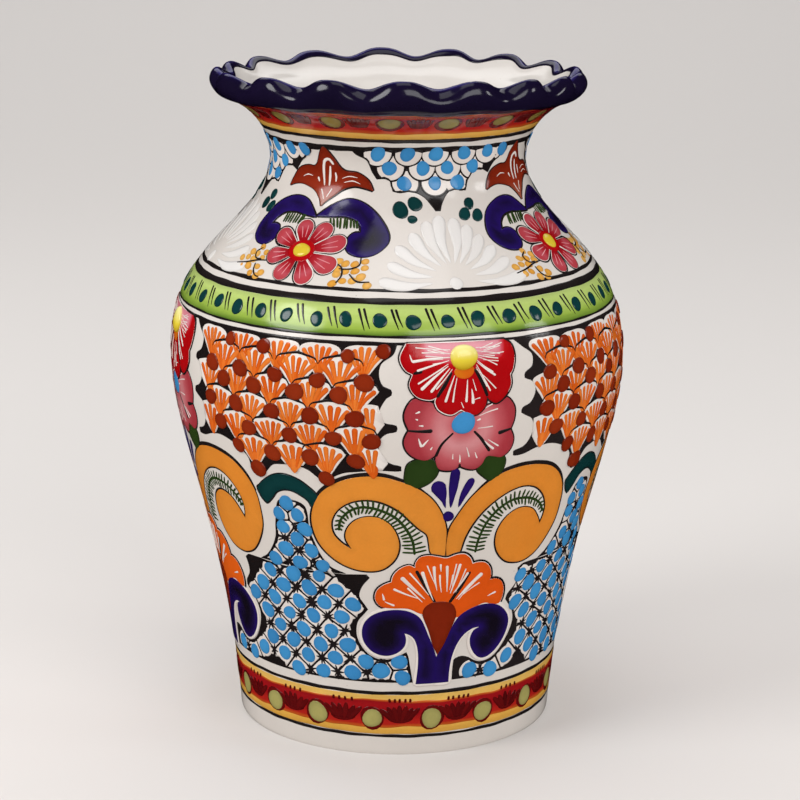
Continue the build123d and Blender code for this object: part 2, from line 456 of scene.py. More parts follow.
def glaze(name, slot, stops, mottle=0.10, pooled=0.75, streak=(60, 60, 60), rough=0.13,
          drift=0.12, specks=None):
    """Glossy fired colour, with its slot. The stops follow the tone across a brush
    mark; colour pools darker along its edge, and the brush leaves faint streaks."""
    material = bpy.data.materials.new(name)
    material.use_nodes = True
    nodes, links = material.node_tree.nodes, material.node_tree.links
    nodes.clear()

    def node(kind, **values):
        made = nodes.new("ShaderNode" + kind)
        for key, value in values.items():
            setattr(made, key, value)
        return made

    out = node("OutputMaterial")
    shader = node("BsdfPrincipled")
    links.new(shader.outputs["BSDF"], out.inputs["Surface"])
    place_in = node("TexCoord")
    spread = node("Mapping")
    spread.inputs["Scale"].default_value = streak
    links.new(place_in.outputs["Object"], spread.inputs["Vector"])

    def noise(scale, detail, source):
        made = node("TexNoise")
        made.inputs["Scale"].default_value = scale
        made.inputs["Detail"].default_value = detail
        links.new(source, made.inputs["Vector"])
        return made.outputs["Fac"]

    def fed(made, places, values, result):
        """The node with those inputs set or linked, and its output."""
        for index, value in zip(places, values):
            if isinstance(value, (int, float, tuple)):
                made.inputs[index].default_value = value
            else:
                links.new(value, made.inputs[index])
        return made.outputs[result]

    def maths(operation, a, b):
        return fed(node("Math", operation=operation), (0, 1), (a, b), 0)

    def mixed(blend, factor, a, b):
        made = node("Mix", data_type="RGBA", blend_type=blend)
        return fed(made, (0, 6, 7), (factor, a, b), 2)

    brush = noise(1.0, 4.0, spread.outputs["Vector"])
    broad = noise(70.0, 3.0, place_in.outputs["Object"])
    fine = noise(900.0, 2.0, place_in.outputs["Object"])

    tone = node("Attribute", attribute_name="tone")
    edge = node("Attribute", attribute_name="edge")
    wander = maths("MULTIPLY", maths("SUBTRACT", brush, 0.5), drift * 2)
    ramp = node("ValToRGB")
    element = ramp.color_ramp.elements
    while len(element) < len(stops):
        element.new(0.5)
    for e, (at, colour) in zip(element, stops):
        e.position = at
        e.color = linear(colour)
    links.new(maths("ADD", tone.outputs["Fac"], wander), ramp.inputs["Fac"])

    shade = maths("ADD", maths("MULTIPLY", maths("SUBTRACT", broad, 0.5), mottle * 2),
                  maths("MULTIPLY", maths("SUBTRACT", fine, 0.5), mottle))
    shade = maths("ADD", shade, maths("MULTIPLY", maths("SUBTRACT", brush, 0.5), mottle * 1.5))
    depth = maths("ADD", maths("MULTIPLY", edge.outputs["Fac"], 1 - pooled), pooled)
    shade = maths("MULTIPLY", maths("ADD", shade, 1.0), depth)
    grey = node("CombineColor")
    for socket in grey.inputs:
        links.new(shade, socket)
    colour = mixed("MULTIPLY", 1.0, ramp.outputs["Color"], grey.outputs["Color"])
    if specks:
        spots = node("TexVoronoi")
        spots.inputs["Scale"].default_value = 190.0
        links.new(place_in.outputs["Object"], spots.inputs["Vector"])
        few = maths("MULTIPLY", maths("LESS_THAN", spots.outputs["Distance"], 0.045),
                    maths("GREATER_THAN", broad, 0.56))
        colour = mixed("MIX", maths("MULTIPLY", few, 0.55), colour, linear(specks))
    links.new(colour, shader.inputs["Base Color"])

    uneven = maths("ADD", maths("MULTIPLY", fine, 0.06), rough - 0.03)
    links.new(uneven, shader.inputs["Roughness"])
    shader.inputs["IOR"].default_value = 1.5
    shader.inputs["Specular IOR Level"].default_value = 0.34
    normal = None
    for strength, distance, height in ((BUMP, 0.0006, broad), (BUMP * 0.6, 0.00008, fine)):
        low = node("Bump")
        low.inputs["Strength"].default_value = strength
        low.inputs["Distance"].default_value = distance
        links.new(height, low.inputs["Height"])
        if normal:
            links.new(normal, low.inputs["Normal"])
        normal = low.outputs["Normal"]
    links.new(normal, shader.inputs["Normal"])
    return material, slot


def plain(colour, other):
    """Stops of a glaze that only drifts between two colours."""
    return [(0.0, colour), (1.0, other)]


WHITE = glaze("tin_white", "tin_white_glaze", plain((214, 207, 200), (206, 198, 190)), mottle=0.035,
              pooled=0.96, specks=(120, 95, 75))
LINING = glaze("cream_lining", "lining_glaze", plain((210, 204, 198), (199, 192, 185)), mottle=0.04,
               pooled=0.95, specks=(130, 105, 85), rough=0.14)
RIM = glaze("cobalt_rim", "cobalt_glaze", [(0.0, (20, 13, 36)), (0.6, (19, 12, 42)),
            (1.0, (40, 32, 92))], mottle=0.25, pooled=0.7, drift=0.10)
BLACK = glaze("black_line", "black_enamel", plain((24, 19, 19), (36, 30, 30)), mottle=0.25,
              pooled=0.9)
CRIMSON = glaze("crimson_band", "crimson_enamel", [(0.0, (206, 96, 34)), (0.13, (172, 34, 24)),
                (0.5, (142, 14, 20)), (0.93, (152, 20, 24)), (1.0, (214, 104, 38))], mottle=0.16,
                streak=(25, 25, 260), drift=0.06)
MAROON = glaze("maroon_brush", "crimson_enamel", plain((104, 14, 14), (78, 10, 12)), mottle=0.2)
RED = glaze("red_petals", "red_enamel", [(0.0, (158, 4, 8)), (0.4, (178, 12, 18)),
            (0.7, (196, 70, 84)), (1.0, (208, 128, 140))], mottle=0.10, pooled=0.85)
ROSE = glaze("rose_petals", "rose_enamel", [(0.0, (160, 52, 60)), (0.45, (184, 86, 92)),
             (1.0, (206, 140, 142))], mottle=0.10, pooled=0.86)
BLOOM = glaze("shoulder_petals", "rose_enamel", [(0.0, (150, 12, 22)), (0.45, (164, 36, 46)),
              (0.75, (178, 74, 84)), (1.0, (176, 62, 70))], mottle=0.10, pooled=0.86)
# Pale rose of the short strokes on the shoulder petals: painted highlights, a pair on each petal.
ROSE_HIGHLIGHT = glaze("rose_painted_highlight", "rose_enamel", plain((214, 128, 134), (218, 148, 154)), mottle=0.12)
ORANGE = glaze("orange_petals", "orange_enamel", plain((212, 76, 12), (222, 98, 24)), mottle=0.10,
               pooled=0.88)
SCALE_ORANGE = glaze("orange_brush", "orange_enamel", plain((206, 84, 16), (220, 118, 44)),
                     mottle=0.16)
GOLD = glaze("gold_band", "amber_enamel", plain((212, 158, 66), (222, 178, 92)), mottle=0.12,
             pooled=0.85, streak=(20, 20, 300), drift=0.4)
AMBER = glaze("amber", "amber_enamel", plain((222, 142, 54), (204, 114, 28)), mottle=0.10,
              pooled=0.88, streak=(40, 40, 40), drift=0.35)
# Eye yellow. The pale last stop is a painted highlight for the top of the big domed eye, and the olive
# low stops a painted shade for its foot; the orange first stop also colours the orange dot under it.
YELLOW = glaze("yellow", "yellow_enamel", [(0.0, (204, 92, 16)), (0.24, (192, 158, 30)),
               (0.55, (218, 196, 58)), (1.0, (234, 226, 150))], mottle=0.05, pooled=0.95)
BROWN = glaze("red_brown", "brown_enamel", plain((120, 32, 10), (136, 44, 16)), mottle=0.14)
# The pale first stop of the lily is a painted reflection at its foot; the darker stops are its own
# brown.
LILY = glaze("lily_brown", "brown_enamel", [(0.0, (170, 98, 74)), (0.5, (142, 46, 24)),
             (1.0, (120, 32, 12))], mottle=0.16)
LIME = glaze("lime_band", "lime_enamel", [(0.0, (98, 130, 44)), (0.22, (142, 168, 66)),
             (0.5, (166, 188, 96)), (1.0, (180, 198, 116))], mottle=0.10, streak=(18, 18, 420),
             drift=0.12)
LEAF = glaze("leaf_green", "leaf_enamel", plain((50, 70, 28), (38, 58, 22)), mottle=0.15)
TEAL = glaze("dark_teal", "teal_enamel", plain((16, 60, 60), (12, 50, 50)), mottle=0.15)
SKY = glaze("sky_blue", "sky_enamel", plain((56, 128, 182), (64, 142, 196)), mottle=0.12,
            pooled=0.85)
COBALT = glaze("cobalt", "cobalt_enamel", [(0.0, (20, 14, 26)), (0.45, (26, 15, 56)),
               (1.0, (38, 20, 98))], mottle=0.18, pooled=0.8, drift=0.2)
OLIVE = glaze("olive", "olive_enamel", plain((124, 104, 44), (166, 160, 96)), mottle=0.15,
              drift=0.05)
BRUSH_WHITE = glaze("white_brush", "white_enamel", plain((228, 220, 213), (220, 209, 201)),
                    mottle=0.05, pooled=0.92)
SOFT_WHITE = glaze("soft_white", "white_enamel", plain((221, 217, 213), (217, 212, 207)),
                   mottle=0.03, pooled=0.93)
BERRY = glaze("berry_orange", "amber_enamel", plain((214, 150, 58), (224, 170, 84)), mottle=0.12)
CLAY = glaze("fired_clay", "fired_clay", plain((176, 104, 70), (190, 124, 88)), mottle=0.25,
             pooled=0.9, rough=0.75)


# ---- Camera, floor and light --------------------------------------------------

CAMERA_PLACE = (0, -1.0753, 0.4164)
CAMERA_TURN = (14.16, 0.09, 0.43)   # degrees down, to the right and of roll


def make_camera():
    """Seen from a little above, close to level, with a very slight roll."""
    pitch, yaw, roll = (math.radians(angle) for angle in CAMERA_TURN)
    level = math.cos(pitch)
    ahead = Vector((math.sin(yaw) * level, math.cos(yaw) * level, -math.sin(pitch)))
    right = ahead.cross(Vector((0, 0, 1))).normalized()
    up = right.cross(ahead)
    leaning = math.cos(roll) * right + math.sin(roll) * up
    upright = -math.sin(roll) * right + math.cos(roll) * up
    turn = Matrix((leaning, upright, -ahead)).transposed().to_4x4()
    data = bpy.data.cameras.new("camera")
    data.lens, data.sensor_width = 108.8, 36.0
    made = bpy.data.objects.new("camera", data)
    made.matrix_world = Matrix.Translation(CAMERA_PLACE) @ turn
    bpy.context.collection.objects.link(made)
    bpy.context.scene.camera = made


def softbox(name, azimuth, elevation, distance, width, height, radiance):
    """A soft panel of light in that direction from the middle of the vase."""
    a, e = math.radians(azimuth), math.radians(elevation)
    middle = Vector((0, 0, 0.18))
    away = Vector((math.sin(a) * math.cos(e), -math.cos(a) * math.cos(e), math.sin(e)))
    data = bpy.data.lights.new(name, "AREA")
    data.shape = "ELLIPSE" if name == "window" else "RECTANGLE"
    data.size, data.size_y = width, height
    data.energy = radiance * math.pi * width * height
    made = bpy.data.objects.new(name, data)
    made.location = middle + distance * away
    made.rotation_euler = (-away).to_track_quat("-Z", "Y").to_euler()
    made.visible_glossy = "fill" not in name
    bpy.context.collection.objects.link(made)


def make_floor():
    """A plain pale ground that curves up behind."""
    corners = [(-3.0, 0), (0.0, 0), (1.2, 0), (1.9, 0.12), (2.4, 0.6), (2.55, 1.4), (2.6, 3.0)]
    profile = spline(corners, 0.05)
    points = [(x, y, z) for x in (-4.0, 4.0) for y, z in profile]
    n = len(profile)
    faces = [(i, i + n, i + n + 1, i + 1) for i in range(n - 1)]
    mesh = bpy.data.meshes.new("floor")
    mesh.from_pydata(points, [], faces)
    mesh.polygons.foreach_set("use_smooth", [True] * len(faces))
    material = bpy.data.materials.new("pale_floor")
    material.use_nodes = True
    shader = material.node_tree.nodes["Principled BSDF"]
    shader.inputs["Base Color"].default_value = linear((217, 212, 208))
    shader.inputs["Roughness"].default_value = 0.9
    mesh.materials.append(material)
    made = bpy.data.objects.new("floor", mesh)
    made.visible_glossy = False
    bpy.context.collection.objects.link(made)


# Panels of light: name, azimuth, elevation, distance, width, height, radiance
PANELS = [
    ("window", -60, 33, 1.8, 0.95, 0.75, 6.6),
    ("left_fill", -104, 18, 1.8, 1.2, 1.2, 1.35),
    ("right_fill", 112, 10, 1.8, 1.0, 1.0, 0.5),
    ("wide", 30, 26, 1.8, 1.35, 0.7, 4.3),
    ("neck_light", 78, 20, 1.8, 0.35, 0.35, 7.0),
    ("overhead", 10, 75, 1.9, 1.2, 1.0, 1.6),
    ("behind", 180, 50, 2.2, 3.0, 1.2, 1.6),
]


def make_light():
    """A dim even world and soft panels. The fills leave no reflection in the glaze."""
    world = bpy.data.worlds.new("studio")
    world.use_nodes = True
    world.node_tree.nodes["Background"].inputs["Color"].default_value = (0.95, 0.97, 1.0, 1)
    world.node_tree.nodes["Background"].inputs["Strength"].default_value = 0.47
    bpy.context.scene.world = world
    world.cycles_visibility.glossy = False
    bpy.context.scene.view_settings.view_transform = "Standard"
    for panel in PANELS:
        softbox(*panel)


# ---- Body ---------------------------------------------------------------------

RIM_LOW = 312.3          # the cobalt starts this far up the section
CLAY_NODES = ("foot_ring", "floor_slab", "foot_wall", "lower_wall", "belly_wall", "upper_wall",
              "shoulder_wall", "neck_collar", "neck_flare")


def make_body():
    """The white coat, the cobalt rim and the lining, and clay on the nodes within."""
    coat = Paint("coat", *WHITE)
    s_rows = np.concatenate([[0.1, 0.15, 0.4, 0.8, 1.5], np.linspace(3.0, TIP + 4.5, 188)])
    heights = np.concatenate([[-1.0, -0.62, -0.4, -0.16, -0.03], np.zeros(188)])
    turned(coat, s_rows, heights, COLUMNS)
    coat.build("outer_glaze")

    rim = Paint("rim_cobalt", *RIM)
    low, high = RIM_LOW, TIP + 4.0
    middle = np.linspace(low + 0.5, high - 0.5, 26)
    s_rows = np.concatenate([[low, low], middle, [high, high]])
    heights = np.concatenate([[SKIRT, 0.12], 0.28 + 0 * middle, [0.12, SKIRT]])
    worn = np.exp(-((s_rows - TIP) / 2.2) ** 2)
    edge = np.clip(np.minimum(s_rows - low, high - s_rows) / 2, 0, 1)
    where = (s_rows - low) / (high - low)
    turned(rim, s_rows, heights, COLUMNS, worn, edge,
           lambda theta: (0.5 * ripple(theta, 21)[:, None]
                          + 0.6 * wave(theta)[:, None] * (1 - where)))
    rim.build("ruffled_rim", "rim_glaze")

    lining = Paint("lining", *LINING)
    s_rows = np.concatenate([np.linspace(TIP + 2.5, END - 62, 190), np.linspace(END - 58, END, 12)])
    z = np.interp(s_rows, ARC, SECTION[:, 1])
    ridges = 0.10 * np.sin(z / 1.15) * np.clip((z - 30) / 20, 0, 1) * np.clip((290 - z) / 20, 0, 1)
    turned(lining, s_rows, ridges + 0.04, 256)
    lining.build("inner_glaze", "rim_lining")
    for name in CLAY_NODES:
        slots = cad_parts[name].data.materials
        slots.clear()
        slots.append(CLAY[0])


# ---- Bands --------------------------------------------------------------------

# Every painted piece and its glaze, in the order in which they are made.
PAINT_TABLE = {
    "foot_lines": BLACK, "foot_amber": GOLD, "foot_crimson": CRIMSON, "foot_fans": MAROON,
    "foot_dots": OLIVE, "collar_lines": BLACK, "collar_amber": GOLD, "collar_crimson": CRIMSON,
    "collar_fans": MAROON, "collar_dots": OLIVE, "belt_lines": BLACK, "belt_green": LIME,
    "belt_dots": TEAL, "net_ground": BLACK, "net_cells": BRUSH_WHITE, "net_dots": SKY,
    "net_stars": BLACK, "scale_ground": BLACK, "scale_shells": BRUSH_WHITE,
    "scale_strokes": SCALE_ORANGE, "scale_arcs": BLACK, "scale_dots": BROWN, "column_lines": BLACK,
    "column_whites": BRUSH_WHITE, "leaves": LEAF, "pink_flower": ROSE, "flower_eyes": SKY,
    "red_flower": RED, "yellow_eyes": YELLOW, "spray": COBALT, "volutes": AMBER, "ferns": LEAF,
    "orange_flower": ORANGE, "tongues": BROWN, "scrolls": COBALT, "arches": TEAL,
    "shoulder_lines": BLACK, "shoulder_whites": BRUSH_WHITE, "lilies": LILY, "curls": COBALT,
    "shoulder_ferns": LEAF, "shoulder_flower": BLOOM, "shoulder_flower_highlights": ROSE_HIGHLIGHT,
    "shoulder_hearts": RED, "berries": BERRY, "lace_ground": BLACK, "lace_discs": BRUSH_WHITE,
    "lace_dots": SKY, "white_fans": SOFT_WHITE, "shoulder_dots": TEAL,
}
PAINTS = {name: Paint(name, *kind) for name, kind in PAINT_TABLE.items()}


def paint(name):
    """The mesh in the making of that name."""
    return PAINTS[name]


# name, low and high edge (s), level, seed, sway of the edges
BANDS = [
    ("foot_lines", 9.2, 10.7, 1, 11, 0.25), ("foot_lines", 30.2, 31.9, 1, 12, 0.25),
    ("foot_amber", 10.9, 30.1, 1, 13, 0.15), ("foot_crimson", 14.3, 27.2, 2, 15, 0.5),
    ("collar_lines", 284.9, 287.6, 1, 31, 0.35), ("collar_lines", 290.1, 292.2, 1, 33, 0.3),
    ("collar_amber", 292.1, 297.0, 1.3, 35, 0.25), ("collar_crimson", 295.3, 313.0, 2.2, 37, 0.4),
    ("belt_lines", 196.8, 198.1, 1, 41, 0.3), ("belt_lines", 199.7, 201.6, 1, 43, 0.2),
    ("belt_lines", 213.4, 217.2, 1, 45, 0.3), ("belt_lines", 219.7, 221.5, 1, 47, 0.3),
    ("belt_green", 200.7, 214.1, 2, 49, 0.25),
]
FOOT_FANS = 18
FOOT_DOTS_S = 18.6       # the dots of the foot, collar and belt lie this far up
COLLAR_FANS = 17
COLLAR_DOTS_S = 302.8
BELT_DOTS = 43
BELT_DOTS_S = 206.9


def paint_foot():
    """Dots and brushed fans in the band at the foot."""
    fans = paint("foot_fans")
    dots = paint("foot_dots")
    for k in range(FOOT_FANS):
        plane = Plane(-7.3 + 20 * k + rng.uniform(-0.8, 0.8))
        size = rng.uniform(4.2, 5.0)
        dot(fans, plane, 0, FOOT_DOTS_S, size + 1.1, size + 1.3, 2.6, 0.03, 0.2)
        dot(dots, plane, rng.uniform(-0.4, 0.4), FOOT_DOTS_S + rng.uniform(-0.5, 0.5),
            size, size * 1.03, 3.6, 0.16, 0.85)
        middle = Plane(2.7 + 20 * k + rng.uniform(-0.8, 0.8))
        count = rng.choice((5, 6, 6, 7))
        dot(fans, middle, 0, 19.3, 5.8, 3.2, 2.8, 0.02, 0.4)
        for i in range(count):
            lean = (i - (count - 1) / 2) / (count - 1)
            foot = (lean * 6.0, 17.2 + abs(lean) * 1.5)
            head = (lean * 17.5 + rng.uniform(-0.3, 0.3),
                    25.2 - abs(lean) * 3.4 + rng.uniform(-0.5, 0.5))
            stroke(fans, middle, [foot, head], 3.2, [1.8, 2.8, 2.4, 1.4], rng.uniform(0.2, 1))
            if abs(lean) < 0.35:
                tick = (head[0] * 0.8, 26.4)
                tip = (tick[0] + rng.uniform(-0.3, 0.4), 28.3)
                stroke(fans, middle, [tick, tip], 3.6, [1.2, 0.9], 1)


def paint_collar():
    """Dots and brushed fans in the band below the rim."""
    fans = paint("collar_fans")
    dots = paint("collar_dots")
    for degrees in (-46 + 21.2 * k for k in range(COLLAR_FANS)):
        plane = Plane(degrees + rng.uniform(-1, 1))
        dot(fans, plane, 0, COLLAR_DOTS_S - 0.2, 5.9, 5.7, 3.0, 0.03, 0.3)
        dot(dots, plane, 0, COLLAR_DOTS_S + rng.uniform(-0.4, 0.4), 4.7, 4.5, 4.0, 0.12, 0.25)
        middle = Plane(degrees + 10.6 + rng.uniform(-1, 1))
        for i in range(6):
            lean = (i - 2.5) / 5
            stroke(fans, middle, [(lean * 5, 298.8 + abs(lean)), (lean * 11, 308.5 - abs(lean) * 3)],
                   3.4, [1.8, 2.4, 1.5], rng.uniform(0.1, 0.9))


def paint_belt():
    """Dots and pairs of strokes in the green band round the shoulder."""
    black = paint("belt_lines")
    dots = paint("belt_dots")
    for k in range(BELT_DOTS):
        degrees = BETWEEN_ANGLE + 1.2 + k * 360 / BELT_DOTS
        plane = Plane(degrees + rng.uniform(-0.5, 0.5))
        dot(dots, plane, 0, BELT_DOTS_S + rng.uniform(-0.5, 0.4),
            rng.uniform(2.8, 3.4), rng.uniform(3.1, 3.6), 3, 0.35,
            turn=rng.uniform(-0.2, 0.4), sides=18)
        between = Plane(degrees + 180 / BELT_DOTS + rng.uniform(-0.5, 0.5))
        for x in (-1.1, 1.3):
            x += rng.uniform(-0.3, 0.3)
            top = (x - 1.2, 212.8 - rng.uniform(0, 0.8))
            foot = (x + 2.0, 203.2 + rng.uniform(-0.8, 1.2))
            stroke(black, between, [top, (x + 0.2, 208), foot], 3, [1.1, 1.0, 0.7, 0.3])


# ---- Net and scales -----------------------------------------------------------

FIELD_TOP = 196.4        # the scales and the flowers stop here, below the belt

NET_RIGHT = [(-45, 89.5), (-40, 89.8), (-34, 90.2, 1), (-32.5, 88.5, 1), (-35.5, 84), (-36.5, 79),
             (-34, 75), (-32.3, 72.5, 1), (-34, 70), (-36.5, 66), (-36.8, 60), (-35, 55),
             (-31.5, 50.5), (-27, 48), (-22, 47.8), (-17, 50), (-14.5, 51.5, 1), (-13.5, 49),
             (-12.5, 44), (-11, 36.2, 1)]
NET_LEFT = [(6.5, 36.2, 1), (6.5, 40), (7, 46), (10.5, 47.5), (14, 46.5), (17, 44.5), (20, 43.4),
            (25, 44), (29, 46.5), (33, 51.5), (36, 57.5), (36.8, 62), (35.5, 67), (33, 70.5),
            (31.3, 73, 1), (32, 75.5), (36, 80), (37, 84), (36.5, 88, 1), (40, 90)]
NET_TOP = [(24, 89.8), (18, 92.5), (14, 98), (12, 104), (10.5, 110), (10.7, 119), (9.5, 122.5),
           (4, 124.3), (-1, 124), (-4, 121.5), (-7, 110), (-8, 104), (-11, 98), (-15, 93),
           (-19, 90)]
# dots at the lower corners and in the tip, where the net leaves its grid
NET_CORNERS = [
    (44, 38.7), (43.2, 46.5), (29.5, 37.6), (28.5, 46.3), (34.8, 42), (-45, 40), (-34, 38.6),
    (-25.5, 43.5)]
NET_TIP = [(-10, 92.6), (3, 93), (14.2, 92.6), (-3.2, 98.6), (9.4, 99.6), (3.6, 104.6), (-3, 109.6),
           (8, 110.2), (-3.6, 116), (5.4, 117), (0.8, 121.8)]


def from_column(points, side):
    """Points set out from the column beside, moved to the plane between columns."""
    moved = []
    for x, s, *corner in points:
        moved.append((x + side * math.radians(45) * radius_at(s), s, *corner))
    return moved


NET_PITCH = 13.1         # between two dots of a row
NET_RISE = 6.85          # between two rows
CELL_GAP = 0.45          # half the black line between two cells
CELL_REACH = 7.2         # a cell never reaches further from its dot
CELL_ALONE = 4.9         # and only this far where there is no neighbour


def cell_shape(centre, others, ground):
    """The white cell round one dot of the net: cut off half way to its neighbours."""
    angles = np.linspace(0, 2 * np.pi, 36, endpoint=False)
    away = np.stack([np.cos(angles), np.sin(angles)], 1)
    limit = np.full(len(angles), CELL_REACH)
    for other in others:
        gone = np.array(other) - centre
        length = np.hypot(*gone)
        if 0.1 < length < 2 * CELL_REACH:
            facing = away @ (gone / length)
            cut = (length / 2 - CELL_GAP) / np.maximum(facing, 1e-3)
            limit = np.where(facing > 0.05, np.minimum(limit, cut), limit)
    limit = np.where(limit < CELL_REACH, limit, CELL_ALONE)
    for _ in range(6):
        spots = centre + away * limit[:, None]
        bad = ~within(ground, spots) | (distance_to(ground, spots) < 1.0)
        limit = np.where(bad, limit * 0.82, limit)
    return centre + away * limit[:, None]


def paint_net(plane, seed):
    """Blue dots in a net of white cells on black."""
    own = random.Random(seed)
    right = from_column(NET_RIGHT, 1)
    left = from_column(NET_LEFT, -1)
    ground = trace(left + NET_TOP + right, 1.2)
    fill(paint("net_ground"), plane, ground, 1, own.random())
    spots = []
    for j in range(8):
        for i in range(-6, 7):
            x = -4.5 - 0.5 * j + NET_PITCH * (i + j % 2 / 2)
            s = 38.6 + NET_RISE * j + 0.08 * x
            spots.append((x + own.uniform(-0.5, 0.5), s + own.uniform(-0.5, 0.5)))
    spots = [(x, s) for x, s in spots if s > 50 or -22 < x < 27]
    for x, s in NET_TIP:
        spots.append((x + own.uniform(-0.3, 0.3), s + own.uniform(-0.3, 0.3)))
    spots = np.array(spots + NET_CORNERS)
    spots = spots[within(ground, spots)]
    spots = spots[distance_to(ground, spots) > 1.7]
    cells = paint("net_cells")
    for spot in spots:
        cell = cell_shape(spot, spots, ground)
        if area_of(cell) > 12:
            fill(cells, plane, cell, 2, own.random(), cell=4)
        nearest = np.sort(np.hypot(*(spots - spot).T))[1]
        size = min(own.uniform(3.35, 4.05), distance_to(ground, spot[None])[0] + 1.6, 0.5 * nearest)
        dot(paint("net_dots"), plane, spot[0], spot[1], size, size * own.uniform(0.94, 1.08),
            4, 0.22, own.random(), own.uniform(0, 3), sides=16)
    stars = paint("net_stars")
    done = set()
    for a in range(len(spots)):
        for b in range(a + 1, len(spots)):
            gone = spots[b] - spots[a]
            if 11 < np.hypot(*gone) < 15.5 and (abs(gone[1]) < 4 or abs(gone[0]) < 4):
                node = (spots[a] + spots[b]) / 2
                key = (round(node[0] / 3), round(node[1] / 3))
                if key in done or np.min(np.hypot(*(spots - node).T)) < 3.2:
                    continue
                done.add(key)
                turn = own.uniform(0, 0.7)
                for k in range(8):
                    angle = turn + math.pi / 4 * k + own.uniform(-0.25, 0.25)
                    along = np.array([math.cos(angle), math.sin(angle)])
                    tip = node + own.uniform(2.4, 4.2) * along
                    stroke(stars, plane, [tuple(node), tuple(tip)], 3, [1.2, 0.9, 0.4])


SCALE_RIGHT = [
    (53, 198, 1), (52, 193), (47.5, 189), (47, 184), (49, 179.8), (52.3, 178.4), (52.6, 176),
    (50.5, 174.6), (47.5, 169), (48, 165), (51, 163.6), (54.5, 162.9), (54.4, 160.2), (50, 159),
    (47, 156), (46.5, 151), (48.5, 147), (52, 145), (55, 144.2), (54.8, 142)]
SCALE_LEFT = [(-51, 145.5), (-51.5, 147.6), (-47, 149.2), (-44.6, 152), (-43.5, 157), (-45, 161.5),
              (-49, 163.8), (-51, 165), (-50.6, 167.4), (-47, 169), (-44.6, 173), (-44.8, 177),
              (-47, 179), (-49.8, 180.2), (-49.4, 182.6), (-45.6, 185), (-44.6, 190),
              (-48.5, 193.6), (-53, 198, 1)]
SCALE_FOOT = [(45, 142), (36, 141), (30, 140), (24, 137), (21, 135), (18, 137), (14, 140),
              (8, 141.5), (2, 141), (-3, 140), (-7, 136), (-11, 132.5), (-15, 135), (-16.5, 141),
              (-20, 144), (-26, 147), (-33, 148.5), (-40, 147.5), (-46, 145.5)]
SHELL_ROWS = [(196.6, (-36, -18, 1.5, 21, 40)), (190.6, (-28, -9.5, 10.2, 30.5)),
              (181.2, (-37.5, -20, -0.5, 17.5, 37)), (171.4, (-43.5, -31, -12.5, 8, 26.5, 43.5)),
              (162.0, (-38, -21, -2, 16.5, 36)), (152.6, (-11.5, 8, 22.5, 42.5))]
STRAY_DOTS = [(-25, 192.8, 3.0), (-6, 192.4, 3.4), (33, 191.8, 3.0), (47.6, 194.2, 3.2),
              (-11, 137, 4.0)]
SHELL = [(0, -1.4), (-2.6, 0.8), (-5.0, 3.8), (-7.7, 7.0), (-9.9, 9.8), (-8.6, 11.9), (-4.8, 13.2),
         (0, 14.0), (4.8, 13.2), (8.6, 11.9), (9.9, 9.8), (7.7, 7.0), (5.0, 3.8), (2.6, 0.8)]

SHELL_RIM = [(-9.8, 9.8), (-8.6, 12.1), (-4.8, 13.3), (0, 14.2), (4.8, 13.3), (8.6, 12.1),
             (9.8, 9.8)]


def paint_scales(plane, seed):
    """Rows of little shells, white with orange strokes, on black."""
    own = random.Random(seed)
    ground = trace(SCALE_LEFT[::-1] + SCALE_FOOT[::-1] + SCALE_RIGHT[::-1], 1.2)
    fill(paint("scale_ground"), plane, ground, 1, own.random())
    shells = paint("scale_shells")
    marks = paint("scale_strokes")
    arcs = paint("scale_arcs")
    dots = paint("scale_dots")
    for row, (top, centres) in enumerate(SHELL_ROWS):
        level = 2 + 0.8 * row
        for x in centres:
            x += own.uniform(-0.5, 0.5)
            apex = top - 13.2 + own.uniform(-0.4, 0.4)
            wide = own.uniform(0.92, 1.03)
            lean = own.uniform(-0.08, 0.08)

            def laid(px, ps):
                return (x + px * wide + lean * ps, min(apex + ps, FIELD_TOP))

            shape = trace([laid(*p) for p in SHELL], 1.0)
            keep = within(ground, shape) & (distance_to(ground, shape) > 0.2)
            if keep.mean() < 0.55:
                continue
            shape = shape[keep]
            fill(shells, plane, shape, level, own.random(), cell=4)
            count = own.choice((5, 6, 6))
            for k in range(count):
                share = (k - (count - 1) / 2) / ((count - 1) / 2)
                start = laid(1.7 * share, 1.2)
                bend = laid(4.7 * share, 6.4)
                end = laid(8.3 * share + own.uniform(-0.3, 0.3),
                           12.9 - 2.3 * share ** 2 - own.uniform(0, 0.8))
                if within(ground, np.array([end]))[0]:
                    full = 13.4 / count * own.uniform(0.88, 1.1)
                    stroke(marks, plane, [start, bend, end], level + 0.9,
                           [0.5 * full, 0.62 * full, 0.85 * full, full], own.random())
            stroke(marks, plane, [laid(0, -1.2), laid(0, 6.0)], level + 0.9,
                   [2.0, 4.0, 4.8, 3.0], own.random())
            rim = [laid(*p) for p in SHELL_RIM]
            if row and within(ground, np.array(rim)).all():
                stroke(arcs, plane, rim, level + 0.6, [0.5, 1.1, 1.2, 1.0, 0.5])
            if within(ground, np.array([laid(0, -3)]))[0]:
                size = own.uniform(3.7, 4.3)
                dot(dots, plane, x + own.uniform(-0.8, 0.8), apex - 2.4, size, size * 0.9,
                    8, 0.25, own.random())
    for x, s, size in STRAY_DOTS:
        dot(dots, plane, x, s, size, size, 8, 0.25, own.random())


# ---- Column of flowers --------------------------------------------------------

